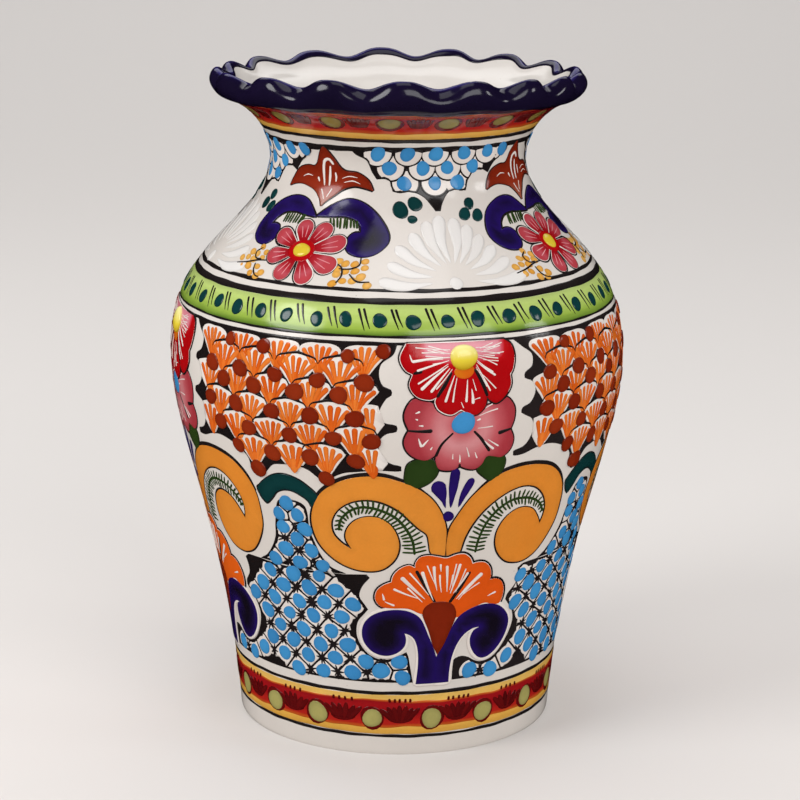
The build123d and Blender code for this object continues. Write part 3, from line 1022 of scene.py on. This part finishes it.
RED_FLOWER = [(-21, 197.6, 1), (-24, 191.5), (-22, 186.5), (-19, 184.8, 1), (-20.5, 180),
              (-17.5, 175.5), (-12, 174), (-9.2, 175, 1), (-9.8, 173), (-8, 169.5), (-3, 167.3),
              (1.3, 169.3, 1), (6, 166.8), (8.5, 166.7), (12, 170), (12.7, 174, 1), (14, 172.5),
              (17, 171), (21, 173.5), (23.8, 178), (23.5, 182.8, 1), (24.8, 184.5), (25.8, 190),
              (24.5, 195), (21, 197.5, 1)]
RED_STROKES = [
     (-3, 191.5, -19.2, 190, 1.5), (-3.6, 190.2, -17.3, 186.2, 1.3), (-4, 188.8, -17, 180.8, 1.0),
    (-4, 188, -15.7, 178.3, 1.7), (-3.4, 187, -11.6, 177.2, 1.6), (-3, 193, -15, 193.6, 0.6),
    (-3, 194.6, -17.5, 195.8, 0.6), (-20, 193, -19, 190, 1.1), (-6, 187, -14, 182.5, 0.6),
    (-2.4, 186.6, -9.4, 178.4, 0.7), (-1.5, 184, -5.5, 172.8, 1.3), (-0.5, 183, -2.3, 172.6, 0.9),
    (4, 182, 3.5, 172.4, 1.3), (5.8, 178, 6.5, 171.5, 1.7), (6.3, 182, 7.8, 177, 0.5),
    (6.9, 173.2, 9.6, 173.9, 0.6), (1.2, 172.6, 2.4, 170, 0.6), (8, 190, 15.5, 184.2, 1.0),
    (8.3, 189, 16.6, 182.8, 1.1), (8, 188, 14.2, 176.4, 0.9), (7.8, 187, 12.6, 178.4, 0.6),
    (8, 186, 16.8, 177.2, 0.7), (8.2, 192, 18, 189.8, 0.6), (8, 193.6, 19, 191.6, 0.5),
    (8, 195, 17, 194.8, 0.5), (9, 191, 17.5, 187, 0.6)]
RED_LINES = [([(-2.6, 185.4), (-5.5, 180.5), (-9.0, 175.0)], [0.9, 1.7, 1.3]), ([(7.2, 186.2),
             (10.4, 180.5), (12.9, 174.2)], [1.1, 1.7, 1.3]), ([(-18.9, 185), (-15.0, 186.2)],
             [1.0, 1.9])]
RED_EYE = (2.8, 191.3)
PINK_EYE = (2.7, 163.3)
PINK_FLOWER = [
    (-9.5, 172), (-14, 174), (-19, 174.3), (-22, 170), (-22.5, 166), (-20.5, 160.8, 1),
    (-22.3, 156), (-21, 151.5), (-17, 148), (-12, 147), (-8.5, 149.3), (-8.6, 147), (-7, 142.8),
    (-4, 141.8), (0, 142), (2, 143.8, 1), (5, 142.2), (9, 141.5), (12, 143.5), (14, 147),
    (17, 146.8), (21, 146), (25, 149), (26.3, 154), (24.5, 158.6, 1), (26, 163), (26, 168),
    (23.5, 172), (21.5, 173), (17, 171), (4, 170)]
PINK_STROKES = [
     (-18, 168.2, -16, 169, 1.0), (-17.9, 165.8, -16.8, 165.4, 0.8),
    (-16.4, 162.8, -14.4, 162.7, 0.8), (-16.3, 157.2, -14.8, 153.2, 1.2),
    (-12, 156.6, -14.6, 153.4, 1.0), (-10.2, 153.2, -11, 151.8, 0.7), (-1.2, 149.6, -1.2, 147, 0.6),
    (4.6, 152.2, 6, 147.6, 0.7), (8.5, 149.6, 9.6, 146.7, 0.7), (1.8, 149, 2, 145.3, 0.8),
    (8.4, 164, 10.2, 164.6, 1.0), (14, 155, 19.2, 151.4, 0.8), (10.5, 156.4, 17, 150.2, 1.1),
    (9, 160.5, 16, 160.8, 0.5), (9.4, 166, 18, 168.4, 0.6), (9, 167.6, 16, 171, 0.5)]
PINK_LINES = [([(-21, 160.7), (-16, 160.3), (-10.5, 160.4)], [0.8, 1.2, 1.9]), ([(-8.6, 148.6),
              (-6.4, 154), (-1.6, 159.2)], [1.3, 1.1, 0.8]), ([(7.4, 159.4), (11, 155.5),
              (15.2, 149.4)], [1.0, 1.4, 1.3]), ([(25, 158.8), (18.6, 157.4)], [0.8, 2.0]),
              ([(2.2, 142.6), (2.0, 144.6)], [0.8, 1.2])]
LEAVES = [[(-20, 145.5), (-21.2, 140), (-20.5, 135), (-17, 133.2), (-11, 135.5), (-7.5, 139.5),
          (-7, 143), (-9.5, 147), (-14, 147.8)], [(10, 141.5), (13, 137.5), (17.5, 134.6),
          (21, 137), (23.3, 142), (23, 145.5), (20, 147.8), (15, 147.5)]]
HALF_FLOWER = [
    (-9, 70.5), (-15, 73.3), (-22, 73.5), (-27, 74.5), (-29.5, 78), (-29, 82.5), (-26, 85.5),
    (-23, 86.8, 1), (-22.5, 90), (-20, 93.5), (-16, 95.3), (-13.3, 93.8, 1), (-13.3, 96.5),
    (-11.5, 99.3), (-8, 100), (-4, 99.2), (0, 98.2), (4.5, 99.5), (8, 99.5), (11, 97),
    (12.3, 94, 1), (14, 94.5), (18, 94), (21, 91), (22, 86.5), (21.5, 84.5, 1), (24, 84.8),
    (27.5, 83), (29.3, 79), (29, 74.5), (27.5, 71.5), (24, 71.5), (20, 73), (15, 71.5), (10, 69),
    (7.5, 67.5)]
HALF_STROKES = [
     (-4.2, 77, -10.2, 92, 1.4), (-8, 78, -19, 89.3, 1.9), (-9, 76.5, -16, 84, 0.8),
    (-11, 78.5, -22, 83.4, 1.0), (-6.5, 80, -15.6, 91.5, 0.8), (-3, 82, -5.2, 94.5, 1.4),
    (-1, 81, -2.3, 90, 0.9), (-1.9, 91.5, -2.3, 95.4, 1.0), (1.5, 81, 0.6, 94.4, 1.2),
    (2.6, 82, 3.6, 89.6, 0.7), (3, 80, 6.6, 94.8, 1.2), (3.8, 82, 4.8, 95, 0.7),
    (4.4, 80, 10.6, 90, 1.2), (5.4, 80.5, 9.4, 92, 0.6), (6, 77, 17.4, 88.6, 1.8),
    (7, 76.5, 13.5, 84.4, 0.8), (9, 79, 16.5, 84, 0.6), (21, 76.4, 25.2, 77.8, 1.0),
    (-26.6, 81, -25.6, 77.6, 1.1), (-25.4, 77, -21, 75, 0.9), (-3.4, 84, -8.2, 95, 0.6)]
HALF_LINES = [([(-12.8, 92.6), (-8, 84), (-3.4, 76)], [1.4, 1.6, 1.2]), ([(11.6, 90.2), (7, 82),
              (3.0, 75.4)], [1.2, 1.8, 1.4])]
TONGUE = [(-8, 73.5), (-5, 76), (0, 76.3), (4, 75), (6, 72), (6.5, 68), (4.5, 62), (2, 55),
          (-0.8, 49.5, 1), (-3, 54), (-5.5, 62), (-8.5, 70)]
ARCH = [(-14, 127, 1), (-10, 131), (-4, 135), (2, 136.3), (9, 134.5), (14, 131), (17.5, 127.5, 1),
        (15, 124), (13.3, 121.5, 1), (12.3, 124.5), (9, 127), (5, 128.7), (1, 128.7), (-3, 127),
        (-6, 123.5), (-9.5, 120, 1), (-12, 122.5)]
SPRAY = [([(-0.3, 123.5), (0.1, 133), (0.7, 142.4)], [0.9, 2.4, 3.9, 4.4, 4.2]), ([(-2.5, 123.5),
         (-4.6, 130), (-7.8, 136.6)], [0.9, 1.8, 4.6, 6.6, 6.2]), ([(3.2, 123.5), (5.0, 129.5),
         (8.6, 137.2)], [0.8, 2.2, 3.3, 3.7, 3.2])]
VOLUTE_LEFT = [
     (-0.8, 105), (-1.3, 113), (-4, 121), (-9, 128.5), (-16, 134), (-22, 136.7), (-30, 139),
    (-36, 139.2), (-44, 137.8), (-51, 134.5), (-57, 129), (-60, 121), (-59.8, 113), (-56, 104),
    (-49, 97), (-41, 93), (-33, 91.9), (-27, 93.3), (-22.5, 98), (-21, 103.5), (-21.8, 109),
    (-25, 115), (-30, 118.8), (-36, 119.3), (-41, 117), (-44, 112.5), (-44.3, 108), (-42.5, 104.5),
    (-41.3, 102.6, 1), (-46, 105.5), (-50, 110), (-51, 116), (-48.5, 122), (-43, 126.3),
    (-36, 127.8), (-29, 126.5), (-22, 122.5), (-17, 117.5), (-13, 113.5), (-9.5, 110.5),
    (-8.3, 106), (-7, 101), (-3, 99), (-0.7, 99.3, 1)]
VOLUTE_RIGHT = [
     (-0.6, 105), (0.2, 113), (3, 119), (8, 127), (14, 133), (21, 137.5), (27, 139.3), (34, 140),
    (42, 139.2), (50, 136.5), (56, 131), (59, 124), (58.8, 116), (57, 108), (52, 100), (46, 94),
    (40, 91.3), (35, 91), (29, 92.8), (24.5, 97.5), (22.5, 103), (22.8, 109), (26, 115),
    (31, 118.5), (36, 119), (41, 117), (44.5, 112.5), (46.5, 108.5, 1), (48, 112), (48.6, 117),
    (46.5, 123), (41.5, 128), (35, 130), (28, 129), (21, 125.5), (15, 120.5), (10.5, 114.5),
    (7.5, 108), (6, 101.5), (5.5, 99.5), (0, 98.5, 1)]
FERN_LEFT = [(-14, 100.5), (-15.5, 107.5), (-19, 114), (-24, 119.5), (-31, 123), (-38, 124),
             (-43, 122), (-47, 117), (-47.5, 111.5)]
FERN_RIGHT = [(13, 99.5), (14, 106), (17, 114), (22, 120), (28, 123.5), (34, 124), (40, 122.5),
              (45, 119), (47.4, 114.5)]
SCROLL_LEFT = [
     (-9.8, 35.5, 1), (-9.2, 45), (-9.8, 53), (-11.5, 58), (-13.5, 60), (-15.8, 61, 1), (-15, 58),
    (-15.5, 54.5), (-18, 51.5), (-22, 49.8), (-26, 50), (-30, 52), (-33.5, 56.5), (-34.5, 62),
    (-33, 67), (-29, 70.8), (-23, 72.7), (-16, 72.5), (-11, 70), (-8.5, 67), (-5.5, 60), (-3, 54),
    (-1.2, 48), (-1.2, 35.5, 1)]
SCROLL_RIGHT = [
     (-1.4, 35.5, 1), (-1.4, 48), (2, 55), (4.5, 62), (7.5, 67.5), (12, 70.8), (18, 72.5), (24, 72),
    (29, 69.5), (33, 64.5), (33.8, 60), (32, 54), (28, 48.5), (23.5, 45.5), (20, 45.3), (17, 47.5),
    (14.5, 52), (14, 56.5), (15.5, 60), (18.3, 61.3, 1), (15, 61), (11, 58.5), (8, 54), (6, 48),
    (5.2, 42), (5, 35.5, 1)]


def pulls(target, plane, marks, level):
    """Pulls of the brush, each a line and its widths."""
    for points, widths in marks:
        stroke(target, plane, points, level, widths)


def strokes(target, plane, marks, level, own, fine=1.0):
    """Straight pulls of a fine brush: from, to and the width at the far end."""
    for x0, s0, x1, s1, width in marks:
        bow = own.uniform(-0.03, 0.03)
        middle = ((x0 + x1) / 2 + bow * (s1 - s0), (s0 + s1) / 2 - bow * (x1 - x0))
        w = fine * width * own.uniform(0.9, 1.1)
        stroke(target, plane, [(x0, s0), middle, (x1, s1)], level,
               [0.25, w * 0.55, w * 0.8, w], own.random())


def radial(cx, cy, near, far, flip=False):
    """Tone by distance from a centre: 1 near it and 0 far from it."""
    def tone(x, s):
        share = np.clip((np.hypot(x - cx, s - cy) - near) / (far - near), 0, 1)
        return share if flip else 1 - share
    return tone


def blushed(x, s):
    """Tone of the red petals: pale beside the eye on both sides, red at the edge."""
    aside = np.abs(x - RED_EYE[0])
    upper = np.clip((s - 186.6 - 0.1 * aside) / 4.5, 0, 1)
    return 0.15 + 0.85 * upper * np.clip((19.5 - aside) / 4, 0, 1)


def faded(x, s):
    """Tone of the rose petals: pale half way out, darker at the eye and the edge."""
    near_eye = np.clip(np.hypot(x - PINK_EYE[0], s - PINK_EYE[1]) / 11, 0.2, 1)
    return radial(2.7, 161, 8, 21)(x, s) * near_eye


def from_edge(shape, high, fall, start, reach):
    """Tone by depth within a shape: high at its edge, lower by fall further in."""
    def tone(x, s):
        deep = distance_to(shape, np.stack([x, s], 1))
        return high - fall * np.clip((deep - start) / reach, 0, 1)
    return tone


def hatch(target, plane, spine, level, reach, pitch, own):
    """A fern leaf: a vein with short slanted strokes on both sides, longest at its foot."""
    line = trace(spine, 0.5, closed=False)
    stroke(target, plane, line, level, [1.1, 1.3, 1.2], traced=True, tone=0.9)
    along = np.gradient(line, axis=0)
    along /= np.hypot(*along.T)[:, None]
    step = max(int(pitch / 0.5), 1)
    for i in range(2, len(line) - 2, step):
        point, ahead = line[i], along[i]
        side = np.array([-ahead[1], ahead[0]])
        share = i / len(line)
        long = reach * (1.3 - 0.5 * share) * min(1, 0.5 + 2.4 * (1 - share))
        for sign in (1, -1):
            start = point + sign * side * 0.4
            end = point + sign * side * long * own.uniform(0.85, 1.12)
            end = end + ahead * own.uniform(0.2, 1.2)
            stroke(target, plane, [tuple(start), tuple(end)], level, [0.8, 1.0, 0.7], own.random())


def paint_column(plane, seed):
    """The two flowers, the volutes and the half flower on its scrolls."""
    own = random.Random(seed)
    lines = paint("column_lines")
    whites = paint("column_whites")

    pink = trace(PINK_FLOWER, 0.9)
    border(lines, plane, pink, 1, 1.5, 0.3, seed)
    for leaf in LEAVES:
        shape = trace(leaf, 1.0)
        border(lines, plane, shape, 0.9, 1.0, 0.4, seed + 5)
        fill(paint("leaves"), plane, shape, 1.8, own.random())
    fill(paint("pink_flower"), plane, pink, 3, faded, cell=1.8)
    pulls(lines, plane, PINK_LINES, 4)
    strokes(whites, plane, PINK_STROKES, 4, own)
    dot(paint("flower_eyes"), plane, *PINK_EYE, 5.1, 4.9, 5, 0.25, 0.6, sides=24)

    red = trace(RED_FLOWER, 0.9)
    border(lines, plane, red, 4.2, 1.7, 0.3, seed + 1)
    border(whites, plane, red, 4.6, 0.7, 0.6, seed + 2)
    fill(paint("red_flower"), plane, red, 5.6, blushed, cell=1.5)
    pulls(lines, plane, RED_LINES, 6.4)
    strokes(whites, plane, RED_STROKES, 7.2, own, 0.8)
    for side in (-1, 1):
        for k in range(6):
            angle = -0.12 + 0.11 * k + own.uniform(-0.04, 0.04)
            near, far = own.uniform(7, 9), own.uniform(13, 18.5)
            ends = [(RED_EYE[0] + side * r * math.cos(angle), min(191 + r * math.sin(angle), FIELD_TOP))
                    for r in (near, far)]
            stroke(whites, plane, ends, 7.0, [0.2, 0.35, 0.45], own.random(), thick=0.6)
    eye = paint("yellow_eyes")
    dot(eye, plane, RED_EYE[0], 185.4, 4.4, 3.0, 6.6, 0.12, 0.0)
    # Painted highlight and shade: the big eye pales towards its top and darkens to olive towards its
    # foot.
    dot(eye, plane, *RED_EYE, 5.7, 5.6, 7.5, 1.7,
        lambda x, s: np.clip((s - 184) / 12, 0.1, 1), sides=28)

    for points, widths in SPRAY:
        stroke(paint("spray"), plane, points, 2, widths, 0.9)
    dot(paint("spray"), plane, -0.9, 119.2, 2.4, 2.6, 2, 0.2, 0.9)

    for points, fern in ((VOLUTE_LEFT, FERN_LEFT), (VOLUTE_RIGHT, FERN_RIGHT)):
        shape = trace(points, 1.1)
        border(lines, plane, shape, 1, 1.5, 0.35, seed + 3)
        heavier = [(x * 1.01, s + 0.5) for x, s in points[3:12]]
        stroke(lines, plane, heavier, 1.1, [0.8, 2.8, 2.6, 1.0])
        fill(paint("volutes"), plane, shape, 2, own.uniform(0.2, 0.5))
        hatch(paint("ferns"), plane, fern, 2, 3.7, 2.4, own)

    half = trace(HALF_FLOWER, 0.9)
    border(lines, plane, half, 3, 2.0, 0.3, seed + 4)
    border(whites, plane, half, 3.7, 0.5, 0.5, seed + 6)
    fill(paint("orange_flower"), plane, half, 4.6, own.random())
    pulls(lines, plane, HALF_LINES, 5.4)
    strokes(whites, plane, HALF_STROKES, 6.2, own)
    fill(paint("tongues"), plane, trace(TONGUE, 1.0), 6.4, own.random())
    for points in (SCROLL_LEFT, SCROLL_RIGHT):
        shape = trace(points, 1.0)
        border(whites, plane, shape, 3.9, 2.6, 0.4, seed + 7)
        fill(paint("scrolls"), plane, shape, 5.4, from_edge(shape, 0.9, 0.9, 0.5, 5))


def paint_arch(plane, seed):
    """The teal arch over the tip of the net."""
    shape = trace(ARCH, 1.0)
    border(paint("column_lines"), plane, shape, 0.8, 1.2, 0.3, seed)
    fill(paint("arches"), plane, shape, 1.7, random.Random(seed).random())


# ---- Shoulder and neck --------------------------------------------------------

LILY_SHAPE = [(-2.3, 286.4), (2, 281.5), (5, 277.5), (7.5, 276), (13, 275.5), (18, 272.5),
              (20.8, 267.9, 1), (17, 269), (12, 269.7), (7, 268), (4, 265.5), (0, 262),
              (-1.8, 259.6, 1), (-3.5, 263), (-7, 266.5), (-11, 268), (-15, 268.7), (-19, 268.2),
              (-22.8, 266.8, 1), (-21, 270.5), (-17.5, 275), (-12, 277), (-8.5, 276.8, 1),
              (-7, 278), (-5, 283)]
LILY_LINES = [([(-2.2, 269), (-3.3, 276), (-2.6, 280), (-0.6, 280.8), (1.8, 278.3)],
              [0.6, 1.2, 1.4, 1.0]), ([(0.2, 269), (0.1, 274), (0, 277.6)], [0.7, 1.2, 0.8]),
              ([(3.2, 271), (3.2, 273), (2.6, 275)], [0.5, 0.9, 0.6]), ([(-5, 270.5), (-6, 272.4)],
              [0.6, 1.0]), ([(6, 272.6), (9, 273.8), (13, 273.4)], [0.2, 0.5, 0.2]), ([(7, 271),
              (11, 271.9), (14.5, 270.8)], [0.2, 0.5, 0.2]), ([(-9, 272.6), (-12, 273),
              (-14.5, 271.8)], [0.2, 0.5, 0.2]), ([(-1.2, 263), (-3.4, 267.5)], [0.4, 0.6]),
              ([(-0.2, 264), (1.8, 268)], [0.4, 0.6])]
CURL_LEFT = [(-2.3, 254.5, 1), (-5, 258), (-9, 262), (-14, 263.3), (-20, 262.3), (-27, 258.5),
             (-32, 252.5), (-35, 246), (-34, 241), (-30, 238), (-25, 237.8), (-21, 240.5),
             (-19.8, 244.5), (-20.5, 248), (-24, 248.8), (-26.5, 248, 1), (-24, 252), (-20, 255),
             (-14, 256), (-9, 255.3)]
CURL_RIGHT = [(-2.3, 255, 1), (0, 257.5), (4, 261), (10, 264), (16, 263.3), (22, 260), (28, 254.5),
              (33, 248), (34, 243.5), (31, 238.5), (26, 236.7), (20, 238), (17, 241), (16, 245),
              (17.5, 248.3), (20.6, 248.8, 1), (20, 251), (16.5, 254.5), (11, 256), (5, 255.5)]
SMALL_PETALS = [
    (-5.5, 248.2, 5.2), (3.7, 247.8, 5.2), (11.3, 242.3, 5.6), (11.3, 231.8, 5.6), (3.2, 226, 5.4),
    (-7.6, 226.6, 5.2), (-14.8, 233.6, 5.2), (-14.4, 243.3, 5.2)]
SMALL_EYE = (-2.6, 237.5)
BERRIES = [(-24.5, 236.3), (-29.5, 233), (-26, 232.5), (-22, 231), (-35, 229), (-31, 230),
           (-27, 229.5), (-33, 225.5), (-28.5, 226), (-22.5, 226.5), (-19, 224), (-25.5, 222.8),
           (-21.3, 222.0), (-21, 234), (16.5, 234), (20, 233), (24, 233), (28, 234.5), (29, 231.3),
           (17.5, 230), (21.5, 229), (25.5, 229.5), (29, 226.8), (18, 227.5), (21.8, 224.5),
           (26, 224.8), (17.8, 223), (33, 222.8)]
STEMS = [[(15.5, 233), (19, 231), (20.5, 227), (19.3, 223.2)], [(25.5, 236.5), (26.2, 232.5),
         (23, 230.5), (18, 230.3)], [(23.5, 228), (28, 224.5), (33.5, 224.5)], [(-24, 236),
         (-27, 233.5), (-26, 230.5), (-22, 230.4)], [(-37, 226), (-30, 227.6), (-24, 229.5),
         (-19, 230.2)], [(-24.5, 228), (-24, 224.6), (-21.5, 222), (-19.4, 221.8)]]
LACE_GROUND = [
    (-36, 286.4, 1), (-33, 283.5), (-28, 281), (-25.5, 276), (-23.5, 273, 1), (-20, 273.2),
    (-18, 272.4), (-17, 268, 1), (-14, 267.3), (-9, 267.8), (-4, 265.5), (-1, 261.5), (0.5, 259, 1),
    (2.8, 259, 1), (4, 262.5), (6.5, 266.5), (9, 268), (15.5, 267.5, 1), (17, 272), (19, 275),
    (24, 276), (28, 274.2, 1), (31, 278), (35, 281), (38, 285), (38, 286.4, 1)]
LACE = [(284.0, (-23.5, -10.4, 1.2, 14.2, 26.4, 36)), (277.6, (-17.6, -4.2, 7.4, 19)),
        (271.0, (-11.4, 1.4, 12))]
FAN_TIPS = [(-29, 224.8), (-24, 233.5), (-19, 242.5), (-11.5, 249), (-4.5, 254.5), (1.5, 257),
            (7.5, 255.5), (13.5, 252), (18.8, 246.8), (24.4, 240.6), (30.5, 233.6), (38, 225)]
FAN_FOOT = (3.5, 223.6)  # the strokes of the white fan spread from here
TEAL_DOTS = [(-14.5, 259.8, 3.5, 3.9), (-8, 262.5, 3.2, 3.3), (-10, 255.5, 2.2, 1.9),
             (16.3, 261.7, 2.5, 2.7), (13.5, 257, 2.9, 3.0), (19.7, 256, 2.8, 3.0)]


def lily_tone_with_painted_reflection(x, s):
    """Tone of the lily: pale at its foot, where a painted reflection lies, dark at its tips."""
    return np.clip((s - 261) / 14, 0, 1) + 0.25 * np.clip(np.abs(x) / 12 - 0.6, 0, 1)


def paint_lily(plane, seed):
    """The lily, its two blue curls, the small flower and its berries."""
    own = random.Random(seed)
    lines = paint("shoulder_lines")
    whites = paint("shoulder_whites")
    lily = trace(LILY_SHAPE, 0.9)
    border(lines, plane, lily, 1.5, 1.0, 0.7, seed)
    # The lily is paler towards its foot as a painted reflection.
    fill(paint("lilies"), plane, lily, 2.6, lily_tone_with_painted_reflection, cell=1.6)
    pulls(whites, plane, LILY_LINES, 3.4)

    for points in (CURL_LEFT, CURL_RIGHT):
        shape = trace(points, 1.0)
        border(lines, plane, shape, 1, 1.4, 0.5, seed + 1)
        fill(paint("curls"), plane, shape, 2, from_edge(shape, 1.0, 1.0, 0, 6))
    ferns = paint("shoulder_ferns")
    for start, end, lean in ((-19.5, -8.5, 1.0), (6.5, 19, -1.0)):
        x = start
        while x < end:
            foot = own.uniform(249.8, 250.8)
            top = 255.6 - 0.02 * (x - (start + end) / 2) ** 2 + own.uniform(-0.4, 0.2)
            stroke(ferns, plane, [(x, foot), (x + lean * own.uniform(1.0, 1.9), top)], 2,
                   [0.8, 1.1, 0.7], own.random())
            x += own.uniform(1.25, 1.75)

    cx, cs = SMALL_EYE
    petals = paint("shoulder_flower")
    for k, (px, ps, size) in enumerate(SMALL_PETALS):
        gone = np.array([px - cx, ps - cs])
        length = np.hypot(*gone)
        ahead = gone / length
        side = np.array([-ahead[1], ahead[0]])
        profile = [(0.5, 0.5), (0.35 * length, 1.5), (0.68 * length, 0.56 * size),
                   (length, 0.8 * size), (length + 0.5 * size, 0.7 * size),
                   (length + 0.86 * size, 0.3 * size)]
        around = profile + [(d, -w) for d, w in profile[::-1]]
        loop = trace([tuple(np.array([cx, cs]) + ahead * d + side * w) for d, w in around], 0.9)
        border(lines, plane, loop, 2.3 + 0.25 * (k % 2), 1.7, 0.5, seed + k)
        border(whites, plane, loop, 3.3 + 0.25 * (k % 2), 0.55, 0.7, seed + k + 20)
        fill(petals, plane, loop, 3.8 + 0.6 * (k % 2), radial(cx, cs, 6, 15, True), cell=1.8)
        # Two short pale strokes on each petal are painted highlights.
        for share in (-0.4, 0.3):
            at_far = np.array([cx, cs]) + ahead * (length + 0.3 * size) + side * size * share * 0.8
            at_near = np.array([cx, cs]) + ahead * (length * 0.62) + side * size * share * 0.4
            stroke(paint("shoulder_flower_highlights"), plane,
                   [tuple(at_near), tuple(at_far)], 5.2, [0.2, 0.5, 0.3], own.random())
    dot(paint("shoulder_hearts"), plane, cx, cs, 6.2, 5.9, 5.2, 0.05, 0.3, sides=22)
    dot(paint("yellow_eyes"), plane, cx, cs + 0.2, 4.0, 3.6, 6, 0.8, 0.45, sides=20)

    berries = paint("berries")
    for x, s in BERRIES:
        size = own.uniform(1.6, 2.15)
        dot(berries, plane, x, s, size * 1.05, size * 0.92, 1.2, 0.12, own.random(), sides=12)
    for stem in STEMS:
        stroke(lines, plane, stem, 3, [0.5, 0.8, 0.6])


def paint_lace(plane, seed):
    """The hanging point of blue-eyed discs below the collar, the white fan and the teal dots."""
    own = random.Random(seed)
    ground = trace(LACE_GROUND, 1.0)
    fill(paint("lace_ground"), plane, ground, 0.9, own.random(), cell=2.0)
    discs = paint("lace_discs")
    eyes = paint("lace_dots")
    rims = paint("shoulder_lines")
    for row, (s, centres) in enumerate(LACE[::-1]):
        level = 1.9 + 1.3 * row
        for x in centres:
            size = own.uniform(5.6, 6.3)
            angles = np.linspace(0, 2 * np.pi, 36, endpoint=False)
            loop = np.stack([x + size * np.cos(angles), s + 0.6 + size * 0.95 * np.sin(angles)], 1)
            loop[:, 1] = np.minimum(loop[:, 1], 286.2)
            for _ in range(5):
                bad = ~within(ground, loop) | (distance_to(ground, loop) < 0.4)
                pull = np.array([x, s + 1.5]) + (loop - [x, s + 1.5]) * 0.86
                loop = np.where(bad[:, None], pull, loop)
            if area_of(loop) < 14:
                continue
            border(rims, plane, loop, level, 1.3, 0.3, seed + row)
            fill(discs, plane, loop, level + 0.6, own.random(), cell=3)
            dot(eyes, plane, x + own.uniform(-0.6, 0.6), s + 0.4,
                own.uniform(2.9, 3.5), own.uniform(2.9, 3.5),
                level + 1.6, 0.15, own.random(), sides=18)

    fans = paint("white_fans")
    cx, cs = FAN_FOOT
    for tip_x, tip_s in FAN_TIPS:
        gone = np.array([tip_x - cx, tip_s - cs])
        length = np.hypot(*gone)
        ahead = gone / length
        side = np.array([-ahead[1], ahead[0]]) * (1 if tip_x > cx else -1)
        start = np.array([cx, cs]) + ahead * 10
        middle = np.array([cx, cs]) + ahead * (10 + (length - 10) * 0.5) - side * 1.6
        stroke(fans, plane, [tuple(start), tuple(middle), (tip_x, tip_s)], 2,
               [0.8, 2.4, 4.6, 6.0, 5.6], own.random())
    dot(fans, plane, cx, cs, 3.0, 2.9, 2, 0.3, 0.5)
    for x, s, rx, ry in TEAL_DOTS:
        dot(paint("shoulder_dots"), plane, x, s, rx, ry, 1.4, 0.3, own.random(),
            own.uniform(-0.4, 0.4), sides=18)


# ---- Whole decoration ---------------------------------------------------------

# Angles of the lilies and white fans in each quarter, and how far its shapes stray
LILY_ANGLES = (-30.5, 62.4, 149, 237)
FAN_ANGLES = (14.5, 104.5, 192, 282.4)
STRAYS = (0, 0.5, 0.9, 0.8)


def paint_all():
    """All the bands, then the pattern, quarter by quarter."""
    for name, *measures in BANDS:
        band(paint(name), *measures)
    paint_foot()
    paint_collar()
    paint_belt()
    for quarter, stray in enumerate(STRAYS):
        seed = 100 * quarter
        column = Plane(COLUMN_ANGLE + 90 * quarter, stray, seed + 1)
        between = Plane(BETWEEN_ANGLE + 90 * quarter, stray, seed + 2)
        fan = Plane(FAN_ANGLES[quarter], stray, seed + 1)
        lily = Plane(LILY_ANGLES[quarter], stray, seed + 2)
        paint_net(between, seed + 3)
        paint_scales(between, seed + 4)
        paint_arch(between, seed + 5)
        paint_column(column, seed + 6)
        paint_lace(fan, seed + 7)
        paint_lily(lily, seed + 8)
    for made in PAINTS.values():
        made.build()


make_camera()
make_floor()
make_light()
make_body()
paint_all()
